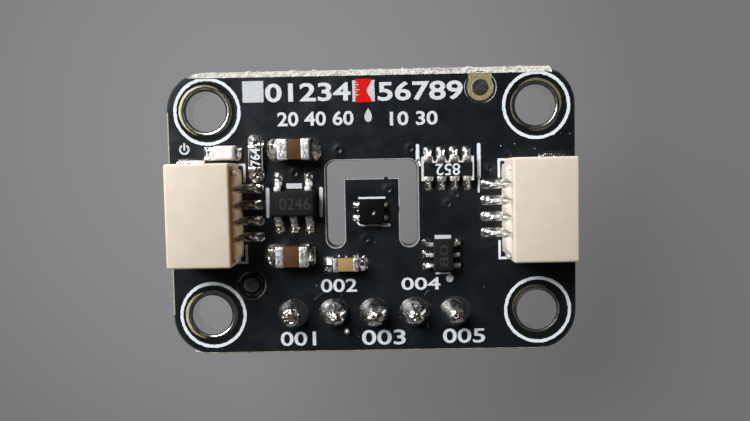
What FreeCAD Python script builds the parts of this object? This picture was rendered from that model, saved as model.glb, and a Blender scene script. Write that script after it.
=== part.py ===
"""Temperature and humidity sensor breakout board, in millimetres.

The board lies flat with its components up (+Z), a cable socket at each end (-X and +X) and the
header row near its front edge (-Y). The origin is the middle of the four mounting holes, on the
underside of the board.
"""
import FreeCAD, Part
import os
import re
import Sketcher

doc = FreeCAD.newDocument("SensorBreakout")

# Driving dimensions
SIZES = {
    "Overall": {
        "board_length": 25.2,
        "board_width": 17.6,
        "overall_height": 13.09,
    },
    "Bare board": {
        "board_thickness": 1.6,
        "corner_radius": 2.4,
        "mask_thickness": 0.03,
        "mask_setback": 0.08,
        "score_inset_rear": 0.42,
        "score_inset_front": 0.06,
        "score_depth": 0.45,
        "plating": 0.035,
        "mask_clearance": 0.05,
    },
    "Thermal slot around the sensor tongue, as its milling path": {
        "slot_width": 1.18,
        "slot_arm_x": 2.29,
        "slot_bar_y": 2.62,
        "slot_end_y": -1.66,
    },
    "Mounting holes": {
        "hole_inset_ends": 2.44,
        "hole_inset_sides": 2.45,
        "mounting_bore": 2.5,
        "mounting_ring": 2.9,
        "mounting_window": 3.6,
    },
    "Vias and alignment dots": {
        "via_bore": 0.3,
        "fiducial_dot": 0.88,
        "fiducial_window": 1.7,
    },
    "White ink": {
        "ink_thickness": 0.015,
        "ink_line": 0.2,
        "ink_ring": 4.0,
        "ink_square": 1.34,
        "ink_square_left_x": -7.23,
        "ink_square_middle_x": -0.38,
        "ink_square_inset": 1.34,
        "ink_bracket_long": 1.05,
        "ink_bracket_gap": 0.18,
        "ink_bracket_margin": 0.04,
        "ink_dot": 0.46,
        "ink_dot_gap": 0.03,
        "ink_gap": 0.14,
        "ink_bar": 0.96,
        "ink_bar_height": 0.3,
        "ink_sensor_share": 1.15,
        "ink_regulator_share": 1.1,
    },
    "Cable sockets": {
        "socket_setback": 0.55,
        "socket_y": 0.04,
        "housing_width": 6.16,
        "housing_depth": 3.97,
        "housing_height": 2.95,
        "ledge_depth": 0.16,
        "ledge_height": 1.72,
        "ledge_width": 5.46,
        "ledge_corner": 0.1,
        "cavity_width": 5.0,
        "cavity_depth": 3.1,
        "cavity_floor": 0.5,
        "cavity_roof": 0.45,
        "contact_pitch": 1.0,
        "contact_width": 0.2,
        "contact_thickness": 0.2,
        "contact_level": 1.5,
        "contact_reach": 2.4,
        "contact_slot": 0.28,
        "contact_gap": 0.02,
        "contact_foot": 0.8,
        "tab_length": 1.5,
        "tab_start": 0.25,
        "tab_height": 1.1,
        "tab_thickness": 0.2,
        "tab_foot": 0.22,
        "contact_land_length": 1.55,
        "contact_land_width": 0.6,
        "contact_land_reach": 1.36,
        "tab_land_length": 1.8,
        "tab_land_width": 1.2,
        "tab_land_overhang": 0.16,
        "tab_land_edge_y": 3.43,
    },
    "Five-pin header": {
        "header_pitch": 2.54,
        "header_inset": 2.45,
        "header_bore": 1.0,
        "header_land": 1.8,
        "strip_width": 2.5,
        "strip_height": 2.54,
        "strip_chamfer": 0.45,
        "pin_width": 0.64,
        "pin_above": 1.2,
        "pin_taper": 0.3,
        "joint_shoulder": 0.45,
        "joint_height": 1.05,
        "joint_shoulder_width": 1.5,
        "joint_top_width": 0.95,
    },
    "Humidity and temperature sensor": {
        "sensor_x": 0.0,
        "sensor_y": 0.0,
        "sensor_width": 1.5,
        "sensor_height": 0.5,
        "sensor_window": 0.5,
        "sensor_window_depth": 0.2,
        "sensor_die_width": 0.8,
        "sensor_die_height": 0.15,
        "sensor_pad_length": 0.35,
        "sensor_pad_width": 0.3,
        "sensor_pad_height": 0.1,
        "sensor_pad_y": 0.4,
        "sensor_land_outer": 1.22,
        "sensor_land_width": 0.42,
        "sensor_joint_height": 0.28,
    },
    "Voltage regulator": {
        "regulator_length": 2.8,
        "regulator_width": 1.6,
        "regulator_height": 1.15,
        "regulator_span": 2.8,
        "regulator_pitch": 0.95,
        "regulator_lead_width": 0.4,
        "regulator_lead_thickness": 0.15,
        "regulator_foot": 0.4,
        "regulator_land_outer": 1.95,
        "regulator_land_length": 1.0,
        "regulator_land_width": 0.62,
        "regulator_die_length": 1.0,
        "regulator_die_width": 0.7,
    },
    "Level shifter": {
        "shifter_length": 2.0,
        "shifter_width": 1.25,
        "shifter_height": 0.95,
        "shifter_span": 2.1,
        "shifter_pitch": 0.65,
        "shifter_lead_width": 0.24,
        "shifter_lead_thickness": 0.12,
        "shifter_foot": 0.25,
        "shifter_land_outer": 1.38,
        "shifter_land_length": 0.6,
        "shifter_land_width": 0.42,
        "shifter_die_length": 0.36,
        "shifter_die_width": 0.3,
    },
    "Solder fillets, as shares of the land and of the lead beside them": {
        "fillet_crest_share": 0.8,
        "fillet_flank_share": 0.8,
    },
    "Moulded packages": {
        "package_standoff": 0.08,
        "package_draft": 0.1,
        "die_height": 0.2,
    },
    "Chip parts": {
        "chip_plating": 0.03,
        "chip_joint_height": 0.4,
    },
    "Large chip capacitors": {
        "capacitor_large_length": 2.0,
        "capacitor_large_width": 1.28,
        "capacitor_large_height": 1.2,
        "capacitor_large_band": 0.55,
        "capacitor_large_land_outer": 1.62,
        "capacitor_large_land_width": 1.45,
    },
    "Small chip capacitor": {
        "capacitor_small_length": 1.6,
        "capacitor_small_width": 0.82,
        "capacitor_small_height": 0.8,
        "capacitor_small_band": 0.35,
        "capacitor_small_land_outer": 1.38,
        "capacitor_small_land_width": 1.0,
    },
    "Chip resistor": {
        "resistor_length": 1.6,
        "resistor_width": 0.82,
        "resistor_height": 0.45,
        "resistor_band": 0.28,
        "resistor_land_outer": 1.5,
        "resistor_land_width": 1.05,
        "resistor_joint_height": 0.3,
        "resistor_film_share": 0.7,
        "resistor_coat_share": 0.94,
        "film_thickness": 0.02,
        "coat_thickness": 0.04,
    },
    "Chip lamp": {
        "lamp_length": 1.6,
        "lamp_width": 0.8,
        "lamp_base": 0.25,
        "lamp_lens_length": 1.12,
        "lamp_height": 0.6,
        "lamp_band": 0.3,
        "lamp_draft": 0.06,
        "lamp_chip": 0.25,
        "lamp_chip_height": 0.1,
        "lamp_land_outer": 1.2,
        "lamp_land_width": 0.95,
        "lamp_joint_height": 0.22,
    },
    "Resistor array": {
        "array_length": 3.2,
        "array_width": 1.55,
        "array_height": 0.5,
        "array_pitch": 0.8,
        "array_notch": 0.3,
        "array_band": 0.3,
        "array_terminal_width": 0.46,
        "array_land_outer": 1.38,
        "array_land_width": 0.56,
        "array_joint_height": 0.26,
    },
    "Places of the parts, from the nearer end of the board and from its middle line": {
        "capacitor_1_from_end": 7.92,
        "capacitor_1_y": 3.9,
        "capacitor_2_from_end": 7.65,
        "capacitor_2_y": -2.66,
        "capacitor_3_past_capacitor_2": 3.27,
        "capacitor_3_y": -3.26,
        "regulator_from_end": 7.76,
        "regulator_y": 0.6,
        "resistor_from_end": 5.48,
        "resistor_y": 3.4,
        "lamp_from_end": 3.5,
        "lamp_y": 3.74,
        "array_from_end": 7.9,
        "array_y": 2.56,
        "shifter_from_end": 8.25,
        "shifter_y": -2.77,
    },
}

HEADER_PINS = 5
SOCKET_CONTACTS = 4
ARRAY_TERMINALS = 4
VIA_PLACES = (
    (-4.75, 2.46), (-1.99, 3.84), (2.45, 3.84), (8.51, 3.37), (7.27, 2.49),
    (5.22, 0.95), (4.72, 0.35), (1.03, 1.33), (-0.4, -1.73),
)
FIDUCIAL_PLACES = ((6.79, 7.51), (-7.62, -4.49))


def fill_sheet():
    """Put every driving dimension in the spreadsheet, one row each, under its heading."""
    sheet = doc.addObject("Spreadsheet::Sheet", "sizes")
    row = 1
    for heading, values in SIZES.items():
        sheet.set(f"A{row}", heading)
        row += 1
        for alias, number in values.items():
            sheet.set(f"A{row}", alias.replace("_", " "))
            sheet.set(f"B{row}", str(number))
            sheet.setAlias(f"B{row}", alias)
            row += 1
    doc.recompute()
    return sheet


sizes = fill_sheet()
ALIASES = {alias for values in SIZES.values() for alias in values}
NODES = {}
LANDS = []


def formula(text):
    """Turn plain size names in a formula into references to the spreadsheet."""
    return re.sub(r"[a-z][a-z_0-9]*", lambda word: f"sizes.{word.group()}" if word.group() in ALIASES
                  else word.group(), str(text))


def bind(thing, **properties):
    """Tie properties to formulas of the sheet; a double underscore stands for a dot."""
    for name, text in properties.items():
        thing.setExpression(name.replace("__", "."), formula(text))


def keep(label, thing):
    """Hand a finished sub-part on under its own name."""
    thing.Label = label
    NODES[label] = thing
    return thing


# Places on the board

QUARTER_TURNS = {0: (1, 0), 90: (0, 1), 180: (-1, 0), 270: (0, -1)}


class Seat:
    """Where a component sits: the middle of its footprint, its base height and its heading."""

    def __init__(self, x="0", y="0", z="0", heading=0):
        self.x = x
        self.y = y
        self.z = z
        self.heading = heading

    def spot(self, x, y):
        """The board position of a point given in the component's own axes."""
        cosine, sine = QUARTER_TURNS[self.heading]
        return (f"({self.x}) + ({cosine})*({x}) - ({sine})*({y})",
                f"({self.y}) + ({sine})*({x}) + ({cosine})*({y})")

    def settle(self, thing, x, y, z, turn=0, tilt=None):
        """Place a thing whose own zero goes to x, y, z of this seat."""
        rotation = FreeCAD.Rotation(FreeCAD.Vector(0, 0, 1), self.heading + turn)
        if tilt:
            rotation = rotation.multiply(tilt)
        thing.Placement = FreeCAD.Placement(FreeCAD.Vector(0, 0, 0), rotation)
        across, along = self.spot(x, y)
        bind(thing, Placement__Base__x=across, Placement__Base__y=along,
             Placement__Base__z=f"({self.z}) + ({z})")


BOARD = Seat()
TOP_OF_BOARD = "board_thickness"
SOCKET_FRONT = "(board_length/2 - socket_setback)"
SOCKET_REAR = f"({SOCKET_FRONT} - housing_depth)"
HEADER_Y = "(header_inset - board_width/2)"
PIN_BELOW = "(overall_height - housing_height - board_thickness - strip_height)"
REGULATOR_X = "(regulator_from_end - board_length/2)"
SHIFTER_X = "(board_length/2 - shifter_from_end)"
ARRAY_X = "(board_length/2 - array_from_end)"


# Primitive solids

def block(name, seat, length, width, height, x="0", y="0", z="0"):
    """A block centred on x and y, standing on z."""
    solid = doc.addObject("Part::Box", name)
    bind(solid, Length=length, Width=width, Height=height)
    seat.settle(solid, f"({x}) - ({length})/2", f"({y}) - ({width})/2", z)
    return solid


def disc(name, seat, diameter, height, x="0", y="0", z="0"):
    """An upright cylinder on the axis x, y, standing on z."""
    solid = doc.addObject("Part::Cylinder", name)
    bind(solid, Radius=f"({diameter})/2", Height=height)
    seat.settle(solid, x, y, z)
    return solid


def cone(name, seat, base, top, height, x="0", y="0", z="0"):
    """An upright cone frustum, given by its two diameters."""
    solid = doc.addObject("Part::Cone", name)
    bind(solid, Radius1=f"({base})/2", Radius2=f"({top})/2", Height=height)
    seat.settle(solid, x, y, z)
    return solid


UPRIGHT = FreeCAD.Rotation(FreeCAD.Vector(1, 0, 0), 90)


def frustum(name, seat, base, top, height, x="0", y="0", z="0"):
    """A block whose rectangular top differs from its base; base and top are (length, width)."""
    solid = doc.addObject("Part::Wedge", name)
    bind(solid, Xmin=f"-({base[0]})/2", Xmax=f"({base[0]})/2", Zmin=f"-({base[1]})/2",
         Zmax=f"({base[1]})/2", X2min=f"-({top[0]})/2", X2max=f"({top[0]})/2",
         Z2min=f"-({top[1]})/2", Z2max=f"({top[1]})/2", Ymin="0", Ymax=height)
    seat.settle(solid, x, y, z, tilt=UPRIGHT)
    return solid


def slope(name, seat, reach, width, height, x, y, turn=0, z="0"):
    """A solder fillet: it leans on a face at x, y and runs down to the land in its heading."""
    crest = "chip_plating"
    solid = doc.addObject("Part::Wedge", name)
    bind(solid, Xmin="0", Xmax=reach, X2min="0", X2max=crest, Zmin=f"-({width})/2",
         Zmax=f"({width})/2", Z2min=f"-({width})*fillet_crest_share/2",
         Z2max=f"({width})*fillet_crest_share/2", Ymin="0", Ymax=height)
    seat.settle(solid, x, y, z, turn=turn, tilt=UPRIGHT)
    return solid


def group(name, solids):
    """Several separate solids as one thing."""
    bundle = doc.addObject("Part::Compound", name)
    bundle.Links = solids
    return bundle


def fuse(name, solids):
    """Overlapping solids as one solid."""
    union = doc.addObject("Part::MultiFuse", name)
    union.Shapes = solids
    union.Refine = True
    return union


def subtract(name, base, tool):
    """The base without the space that the tool takes."""
    rest = doc.addObject("Part::Cut", name)
    rest.Base = base
    rest.Tool = tool
    rest.Refine = True
    return rest


def overlap(name, first, second):
    """The space that two solids share."""
    shared = doc.addObject("Part::MultiCommon", name)
    shared.Shapes = [first, second]
    return shared


# Sketched bodies

def start_body(name):
    return doc.addObject("PartDesign::Body", name)


def sketch_on(body, name, role):
    """A sketch on one of the body's own origin planes."""
    sketch = body.newObject("Sketcher::SketchObject", name)
    plane = next(feature for feature in body.Origin.OriginFeatures if feature.Role == role)
    sketch.AttachmentSupport = [(plane, "")]
    sketch.MapMode = "FlatFace"
    return sketch


def hold(sketch, kind, geometry, text):
    """Hold one coordinate of a line's start, or a circle's centre, at a formula."""
    point = 3 if sketch.Geometry[geometry].TypeId == "Part::GeomCircle" else 1
    start = sketch.getPoint(geometry, point)
    number = start.x if kind == "DistanceX" else start.y
    index = sketch.addConstraint(Sketcher.Constraint(kind, geometry, point, number))
    sketch.setExpression(f"Constraints[{index}]", formula(text))


def draw_outline(sketch, points):
    """A closed outline of straight lines through points given as pairs of formulas."""
    first = sketch.GeometryCount
    count = len(points)
    ring = [FreeCAD.Vector(1, 0, 0)]
    for step in range(1, count):
        turn = FreeCAD.Rotation(FreeCAD.Vector(0, 0, 1), 360 * step / count)
        ring.append(turn.multVec(ring[0]))
    for step in range(count):
        sketch.addGeometry(Part.LineSegment(ring[step], ring[(step + 1) % count]), False)
    for step in range(count):
        following = first + (step + 1) % count
        sketch.addConstraint(Sketcher.Constraint("Coincident", first + step, 2, following, 1))
    for step, (across, along) in enumerate(points):
        hold(sketch, "DistanceX", first + step, across)
        hold(sketch, "DistanceY", first + step, along)


def pad(body, name, sketch, length, both_ways=False):
    """Raise a sketch into a solid, upwards or to both sides of its plane."""
    feature = body.newObject("PartDesign::Pad", name)
    feature.Profile = sketch
    bind(feature, Length=length)
    if both_ways:
        feature.SideType = "Symmetric"
    return feature


def pocket(body, name, sketch, length, both_ways=False):
    """Cut a sketch out of the body to a depth."""
    feature = body.newObject("PartDesign::Pocket", name)
    feature.Profile = sketch
    bind(feature, Length=length)
    if both_ways:
        feature.SideType = "Symmetric"
    return feature


def upright_edges(shape, wanted=lambda middle: True):
    """Names of the shape's straight upright edges whose middle passes a test."""
    names = []
    for number, edge in enumerate(shape.Edges, 1):
        box = edge.BoundBox
        if box.ZLength > 1e-3 and box.XLength < 1e-6 and box.YLength < 1e-6 and wanted(box.Center):
            names.append(f"Edge{number}")
    return names


def round_edges(body, name, feature, edge_names, radius):
    """Fillet the named edges of a feature."""
    fillet = body.newObject("PartDesign::Fillet", name)
    fillet.Base = (feature, edge_names)
    bind(fillet, Radius=radius)
    return fillet


def rounded_plate(name, length, width, radius, bottom, thickness):
    """A flat plate with rounded corners, centred on the mounting pattern."""
    body = start_body(name)
    sketch = sketch_on(body, f"{name}_outline", "XY_Plane")
    half_length = f"({length})/2"
    half_width = f"({width})/2"
    draw_outline(sketch, [(f"-{half_length}", f"-{half_width}"), (half_length, f"-{half_width}"),
                          (half_length, half_width), (f"-{half_length}", half_width)])
    plate = pad(body, f"{name}_pad", sketch, thickness)
    doc.recompute()
    round_edges(body, f"{name}_corners", plate, upright_edges(plate.Shape), radius)
    bind(body, Placement__Base__z=bottom)
    return body


# Bare board

def mounting_places():
    """The four mounting hole centres, as formulas."""
    return [(f"{sign_x}*(board_length/2 - hole_inset_ends)",
             f"{sign_y}*(board_width/2 - hole_inset_sides)")
            for sign_x in (-1, 1) for sign_y in (-1, 1)]


def header_places():
    """The header hole centres, from the left."""
    middle = (HEADER_PINS - 1) / 2
    return [(f"{step - middle}*header_pitch", HEADER_Y) for step in range(HEADER_PINS)]


def add_land(seat, x, y, length, width):
    """Note a copper land under a component for the copper and for both masks' windows."""
    LANDS.append((seat, x, y, length, width))


def milled_slot(name, grow, bottom, height):
    """The U-shaped milling path around the sensor tongue, wider by grow on each side."""
    cutter = f"slot_width + 2*({grow})"
    bar = block(f"{name}_bar", BOARD, "2*slot_arm_x", cutter, height, "0", "slot_bar_y", bottom)
    parts = [bar]
    for side, sign in (("left", -1), ("right", 1)):
        arm_x = f"{sign}*slot_arm_x"
        parts.append(block(f"{name}_{side}_arm", BOARD, cutter, "slot_bar_y - slot_end_y", height,
                           arm_x, "(slot_bar_y + slot_end_y)/2", bottom))
        for end in ("slot_bar_y", "slot_end_y"):
            parts.append(disc(f"{name}_{side}_{end}", BOARD, cutter, height, arm_x, end, bottom))
    return fuse(name, parts)


def drilled_holes(name, bottom, height):
    """The holes as drilled, before they are plated."""
    kinds = ((mounting_places(), "mounting_bore"), (header_places(), "header_bore"),
             (VIA_PLACES, "via_bore"))
    drills = []
    for places, bore in kinds:
        for x, y in places:
            drills.append(disc(f"{name}_{bore}", BOARD, f"{bore} + 2*plating", height, x, y, bottom))
    return drills


def make_core():
    """The glass-epoxy board, with its scored long edges, drilled holes and milled slot."""
    blank = start_body("core_blank")
    outline = sketch_on(blank, "core_outline", "XY_Plane")
    draw_outline(outline, [("-board_length/2", "-board_width/2"), ("board_length/2", "-board_width/2"),
                           ("board_length/2", "board_width/2"), ("-board_length/2", "board_width/2")])
    plate = pad(blank, "core_plate", outline, "board_thickness - 2*mask_thickness")
    doc.recompute()
    round_edges(blank, "core_corners", plate, upright_edges(plate.Shape), "corner_radius")
    scoring = sketch_on(blank, "core_scoring", "YZ_Plane")
    core_top = "(board_thickness - 2*mask_thickness)"
    for sign, inset in ((1, "score_inset_rear"), (-1, "score_inset_front")):
        edge = f"{sign}*board_width/2"
        beyond = f"{sign}*(board_width/2 + 1)"
        for face, deep in ((core_top, f"{core_top} - score_depth"), ("0", "score_depth")):
            draw_outline(scoring, [(f"{sign}*(board_width/2 - {inset})", face), (edge, deep),
                                   (beyond, deep), (beyond, face)])
    pocket(blank, "core_scores", scoring, "2*board_length", both_ways=True)
    bind(blank, Placement__Base__z="mask_thickness")
    openings = [milled_slot("core_slot", "0", "-1", "board_thickness + 2")]
    openings += drilled_holes("core_drill", "-1", "board_thickness + 2")
    keep("board_core", subtract("board_core", blank, group("core_openings", openings)))


def make_mask(label, bottom, with_windows):
    """One lacquer layer: it stops short of the cut edges and leaves every land bare."""
    name = label.replace("solder_", "")
    sheet = rounded_plate(f"{name}_sheet", "board_length - 2*mask_setback",
                          "board_width - 2*mask_setback", "corner_radius - mask_setback",
                          bottom, "mask_thickness")
    kept_depth = "board_width - score_inset_rear - score_inset_front"
    kept = block(f"{name}_kept", BOARD, "board_length", kept_depth, "1", "0",
                 "(score_inset_front - score_inset_rear)/2", f"{bottom} - 0.5")
    through = (f"{bottom} - 0.5", "1")
    windows = [milled_slot(f"{name}_slot", "mask_clearance", *through)]
    for x, y in mounting_places():
        windows.append(disc(f"{name}_hole", BOARD, "mounting_window", through[1], x, y, through[0]))
    for x, y in header_places():
        windows.append(disc(f"{name}_header", BOARD, "header_land + 2*mask_clearance", through[1],
                            x, y, through[0]))
    if with_windows:
        for x, y in FIDUCIAL_PLACES:
            windows.append(disc(f"{name}_dot", BOARD, "fiducial_window", through[1], x, y, through[0]))
        for seat, x, y, length, width in LANDS:
            flat = Seat(seat.x, seat.y, "0", seat.heading)
            windows.append(block(f"{name}_land", flat, f"{length} + 2*mask_clearance",
                                 f"{width} + 2*mask_clearance", through[1], x, y, through[0]))
    trimmed = overlap(f"{name}_trimmed", sheet, kept)
    keep(label, subtract(label, trimmed, group(f"{name}_windows", windows)))


def make_copper():
    """Lands, plated barrels, vias and alignment dots."""
    copper_bottom = "board_thickness - mask_thickness"
    lands = []
    for seat, x, y, length, width in LANDS:
        flat = Seat(seat.x, seat.y, "0", seat.heading)
        lands.append(block("land", flat, length, width, "mask_thickness", x, y, copper_bottom))
    keep("copper_lands", group("copper_lands", lands))
    for label, places, bore, ring in (
            ("mounting_hole_barrels", mounting_places(), "mounting_bore", "mounting_ring"),
            ("header_hole_barrels", header_places(), "header_bore", "header_land")):
        tubes = []
        for x, y in places:
            rings = [disc("barrel_ring", BOARD, ring, "mask_thickness", x, y, z)
                     for z in ("0", copper_bottom)]
            wall = disc("barrel_wall", BOARD, f"{bore} + 2*plating", "board_thickness", x, y)
            bore_space = disc("barrel_bore", BOARD, bore, "board_thickness + 2", x, y, "-1")
            tubes.append(subtract("barrel", fuse("barrel_metal", rings + [wall]), bore_space))
        keep(label, group(label, tubes))
    vias = []
    for x, y in VIA_PLACES:
        wall = disc("via_wall", BOARD, "via_bore + 2*plating", "board_thickness - 2*mask_thickness",
                    x, y, "mask_thickness")
        vias.append(subtract("via", wall, disc("via_space", BOARD, "via_bore", "board_thickness + 2",
                                               x, y, "-1")))
    keep("plated_vias", group("plated_vias", vias))
    dots = [disc("fiducial", BOARD, "fiducial_dot", "mask_thickness", x, y, copper_bottom)
            for x, y in FIDUCIAL_PLACES]
    keep("fiducials", group("fiducials", dots))


def make_ink():
    """The white printing: rings round the holes, title squares and marks beside the parts."""
    ink = []

    def print_block(x, y, length, width):
        ink.append(block("ink_mark", BOARD, length, width, "ink_thickness", x, y, TOP_OF_BOARD))

    mask_rear = block("ink_field", BOARD, "board_length",
                      "board_width - score_inset_rear - score_inset_front", "ink_thickness", "0",
                      "(score_inset_front - score_inset_rear)/2", TOP_OF_BOARD)
    for x, y in mounting_places():
        outer = disc("ink_ring_outer", BOARD, "ink_ring + ink_line", "ink_thickness", x, y,
                     TOP_OF_BOARD)
        inner = disc("ink_ring_inner", BOARD, "ink_ring - ink_line", "3*ink_thickness", x, y,
                     f"{TOP_OF_BOARD} - ink_thickness")
        ink.append(overlap("ink_ring", subtract("ink_ring_round", outer, inner), mask_rear))
    for square_x in ("ink_square_left_x", "ink_square_middle_x"):
        print_block(square_x, "board_width/2 - ink_square_inset", "ink_square", "ink_square")
    bracket_x = f"({SOCKET_REAR} - ink_bracket_gap)"
    inner_side = f"({bracket_x} - ink_line/2)"
    reach = f"({SOCKET_REAR} + ledge_depth - {inner_side})"
    for side in (-1, 1):
        for end in (-1, 1):
            corner_x = f"{side}*{bracket_x}"
            corner_y = f"socket_y + {end}*(housing_width/2 + ink_bracket_margin)"
            print_block(f"{side}*({inner_side} + {reach}/2)", corner_y, reach, "ink_line")
            print_block(corner_x, f"{corner_y} - {end}*(ink_bracket_long/2 + ink_line/2)",
                        "ink_line", "ink_bracket_long")
    for end in (-1, 1):
        print_block("sensor_x", f"sensor_y + {end}*(sensor_width/2 + ink_gap)",
                    "ink_sensor_share*sensor_width", "ink_line")
        print_block(f"{REGULATOR_X} + {end}*(regulator_length/2 + ink_gap)", "regulator_y",
                    "ink_line", "ink_regulator_share*regulator_width")
        print_block(f"{ARRAY_X} + {end}*(array_length/2 + 2*ink_gap)", "array_y", "ink_line",
                    "2*array_land_outer")
        print_block(SHIFTER_X, f"shifter_y + {end}*(shifter_length/2 + ink_gap)", "ink_bar",
                    "ink_line")
    print_block(REGULATOR_X, "regulator_y + regulator_width/2 + ink_bar_height", "ink_bar",
                "ink_bar_height")
    ink.append(disc("ink_dot", BOARD, "ink_dot", "ink_thickness", f"{SHIFTER_X} + shifter_width/3",
                    "shifter_y - shifter_length/2 - ink_gap - ink_line/2 - ink_dot_gap - ink_dot/2",
                    TOP_OF_BOARD))
    bare = []
    for seat, x, y, length, width in LANDS:
        flat = Seat(seat.x, seat.y, "0", seat.heading)
        bare.append(block("ink_free", flat, f"{length} + 2*mask_clearance",
                          f"{width} + 2*mask_clearance", "1", x, y, f"{TOP_OF_BOARD} - 0.5"))
    keep("silkscreen", subtract("silkscreen", group("ink_marks", ink), group("ink_free_lands", bare)))


# Cable sockets

def contact_row():
    """Offsets of the contacts across a socket."""
    middle = (SOCKET_CONTACTS - 1) / 2
    return [f"{step - middle}*contact_pitch" for step in range(SOCKET_CONTACTS)]


def make_contact(name, seat, y):
    """One contact: a blade in the cavity, a riser behind the rear wall and a foot on its land."""
    body = start_body(name)
    side_view = sketch_on(body, f"{name}_side", "XZ_Plane")
    upper = "contact_level + contact_thickness/2"
    lower = "contact_level - contact_thickness/2"
    riser_front = "-(housing_depth + contact_gap)"
    riser_rear = "-(housing_depth + contact_gap + contact_thickness)"
    tip = "contact_reach - cavity_depth"
    heel = "-(housing_depth + contact_foot)"
    draw_outline(side_view, [(tip, upper), (tip, lower), (riser_front, lower), (riser_front, "0"),
                             (heel, "0"), (heel, "contact_thickness"),
                             (riser_rear, "contact_thickness"), (riser_rear, upper)])
    pad(body, f"{name}_strip", side_view, "contact_width", both_ways=True)
    seat.settle(body, "0", y, "0")
    return body


def make_tab(name, seat, side):
    """One anchor tab: an angle of sheet metal let into the side wall, with a foot to solder."""
    wall = block(f"{name}_wall", seat, "tab_length", "tab_thickness", "tab_height",
                 "-(tab_start + tab_length/2)", f"{side}*(housing_width/2 - tab_thickness/2)")
    foot = block(f"{name}_foot", seat, "tab_length", "tab_foot", "tab_thickness",
                 "-(tab_start + tab_length/2)", f"{side}*(housing_width/2 + tab_foot/2)")
    return fuse(name, [wall, foot])


def make_housing_blank(name, seat):
    """The moulded shell: a stepped block, its plug cavity and the open slots for the risers."""
    body = start_body(name)
    side_view = sketch_on(body, f"{name}_side", "XZ_Plane")
    top_rear = "-(housing_depth - ledge_depth)"
    draw_outline(side_view, [("0", "0"), ("0", "housing_height"), (top_rear, "housing_height"),
                             (top_rear, "ledge_height"), ("-housing_depth", "ledge_height"),
                             ("-housing_depth", "0")])
    pad(body, f"{name}_block", side_view, "housing_width", both_ways=True)
    plan = sketch_on(body, f"{name}_notches", "XY_Plane")
    for side in (-1, 1):
        inner = f"{side}*ledge_width/2"
        outer = f"{side}*(housing_width/2 + 1)"
        draw_outline(plan, [(top_rear, inner), (top_rear, outer), ("-(housing_depth + 1)", outer),
                            ("-(housing_depth + 1)", inner)])
    for y in contact_row():
        draw_outline(plan, [(top_rear, f"{y} - contact_slot/2"), (top_rear, f"{y} + contact_slot/2"),
                            ("-(housing_depth + 0.5)", f"{y} + contact_slot/2"),
                            ("-(housing_depth + 0.5)", f"{y} - contact_slot/2")])
    pocket(body, f"{name}_rear_cuts", plan, "3*ledge_height", both_ways=True)
    front = sketch_on(body, f"{name}_mouth", "YZ_Plane")
    ceiling = "housing_height - cavity_roof"
    draw_outline(front, [("-cavity_width/2", "cavity_floor"), ("cavity_width/2", "cavity_floor"),
                         ("cavity_width/2", ceiling), ("-cavity_width/2", ceiling)])
    cavity = pocket(body, f"{name}_cavity", front, "cavity_depth")
    doc.recompute()
    rear = sizes.get("housing_depth") - 1e-3
    teeth = upright_edges(cavity.Shape, lambda middle: middle.x < -rear)
    round_edges(body, f"{name}_teeth", cavity, teeth, "ledge_corner")
    seat.settle(body, "0", "0", "0")
    return body


def make_socket(side, heading):
    """One side-entry cable socket with its contacts, anchor tabs and solder."""
    sign = 1 if heading == 0 else -1
    seat = Seat(f"{sign}*{SOCKET_FRONT}", "socket_y", TOP_OF_BOARD, heading)
    prefix = f"socket_{side}"
    contacts = [make_contact(f"{prefix}_contact_{step}", seat, y)
                for step, y in enumerate(contact_row(), 1)]
    contact_set = keep(f"{prefix}_contacts", group(f"{prefix}_contacts", contacts))
    tabs = [make_tab(f"{prefix}_tab_{name}", seat, end) for name, end in (("a", -1), ("b", 1))]
    tab_set = keep(f"{prefix}_anchor_tabs", group(f"{prefix}_anchor_tabs", tabs))
    blank = make_housing_blank(f"{prefix}_blank", seat)
    inside = group(f"{prefix}_inserts", [contact_set, tab_set])
    keep(f"{prefix}_housing", subtract(f"{prefix}_housing", blank, inside))
    joints = []
    land_end = "-(housing_depth + contact_land_reach)"
    for y in contact_row():
        add_land(seat, f"{land_end} + contact_land_length/2", y, "contact_land_length",
                 "contact_land_width")
        joints.append(slope(f"{prefix}_joint", seat, "contact_land_reach - contact_foot",
                            "contact_land_width*fillet_crest_share", "contact_thickness",
                            "-(housing_depth + contact_foot)", y, turn=180))
        flank_length = "(contact_foot - contact_gap - contact_thickness)"
        for flank in (-1, 1):
            joints.append(slope(f"{prefix}_flank", seat,
                                "(contact_land_width - contact_width)/2", flank_length,
                                "contact_thickness*fillet_flank_share",
                                f"-(housing_depth + contact_foot - {flank_length}/2)",
                                f"{y} + {flank}*contact_width/2", turn=90 * flank))
    for end in (-1, 1):
        land_x = "tab_land_overhang - tab_land_length/2"
        add_land(seat, land_x, f"{end}*(tab_land_edge_y - tab_land_width/2)", "tab_land_length",
                 "tab_land_width")
        foot_edge = "housing_width/2 + tab_foot"
        joints.append(slope(f"{prefix}_tab_joint", seat, f"tab_land_edge_y - ({foot_edge})",
                            "tab_length", "tab_thickness", "-(tab_start + tab_length/2)",
                            f"{end}*({foot_edge})", turn=90 * end))
    keep(f"{prefix}_solder", group(f"{prefix}_solder", joints))


# Header on the underside

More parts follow.
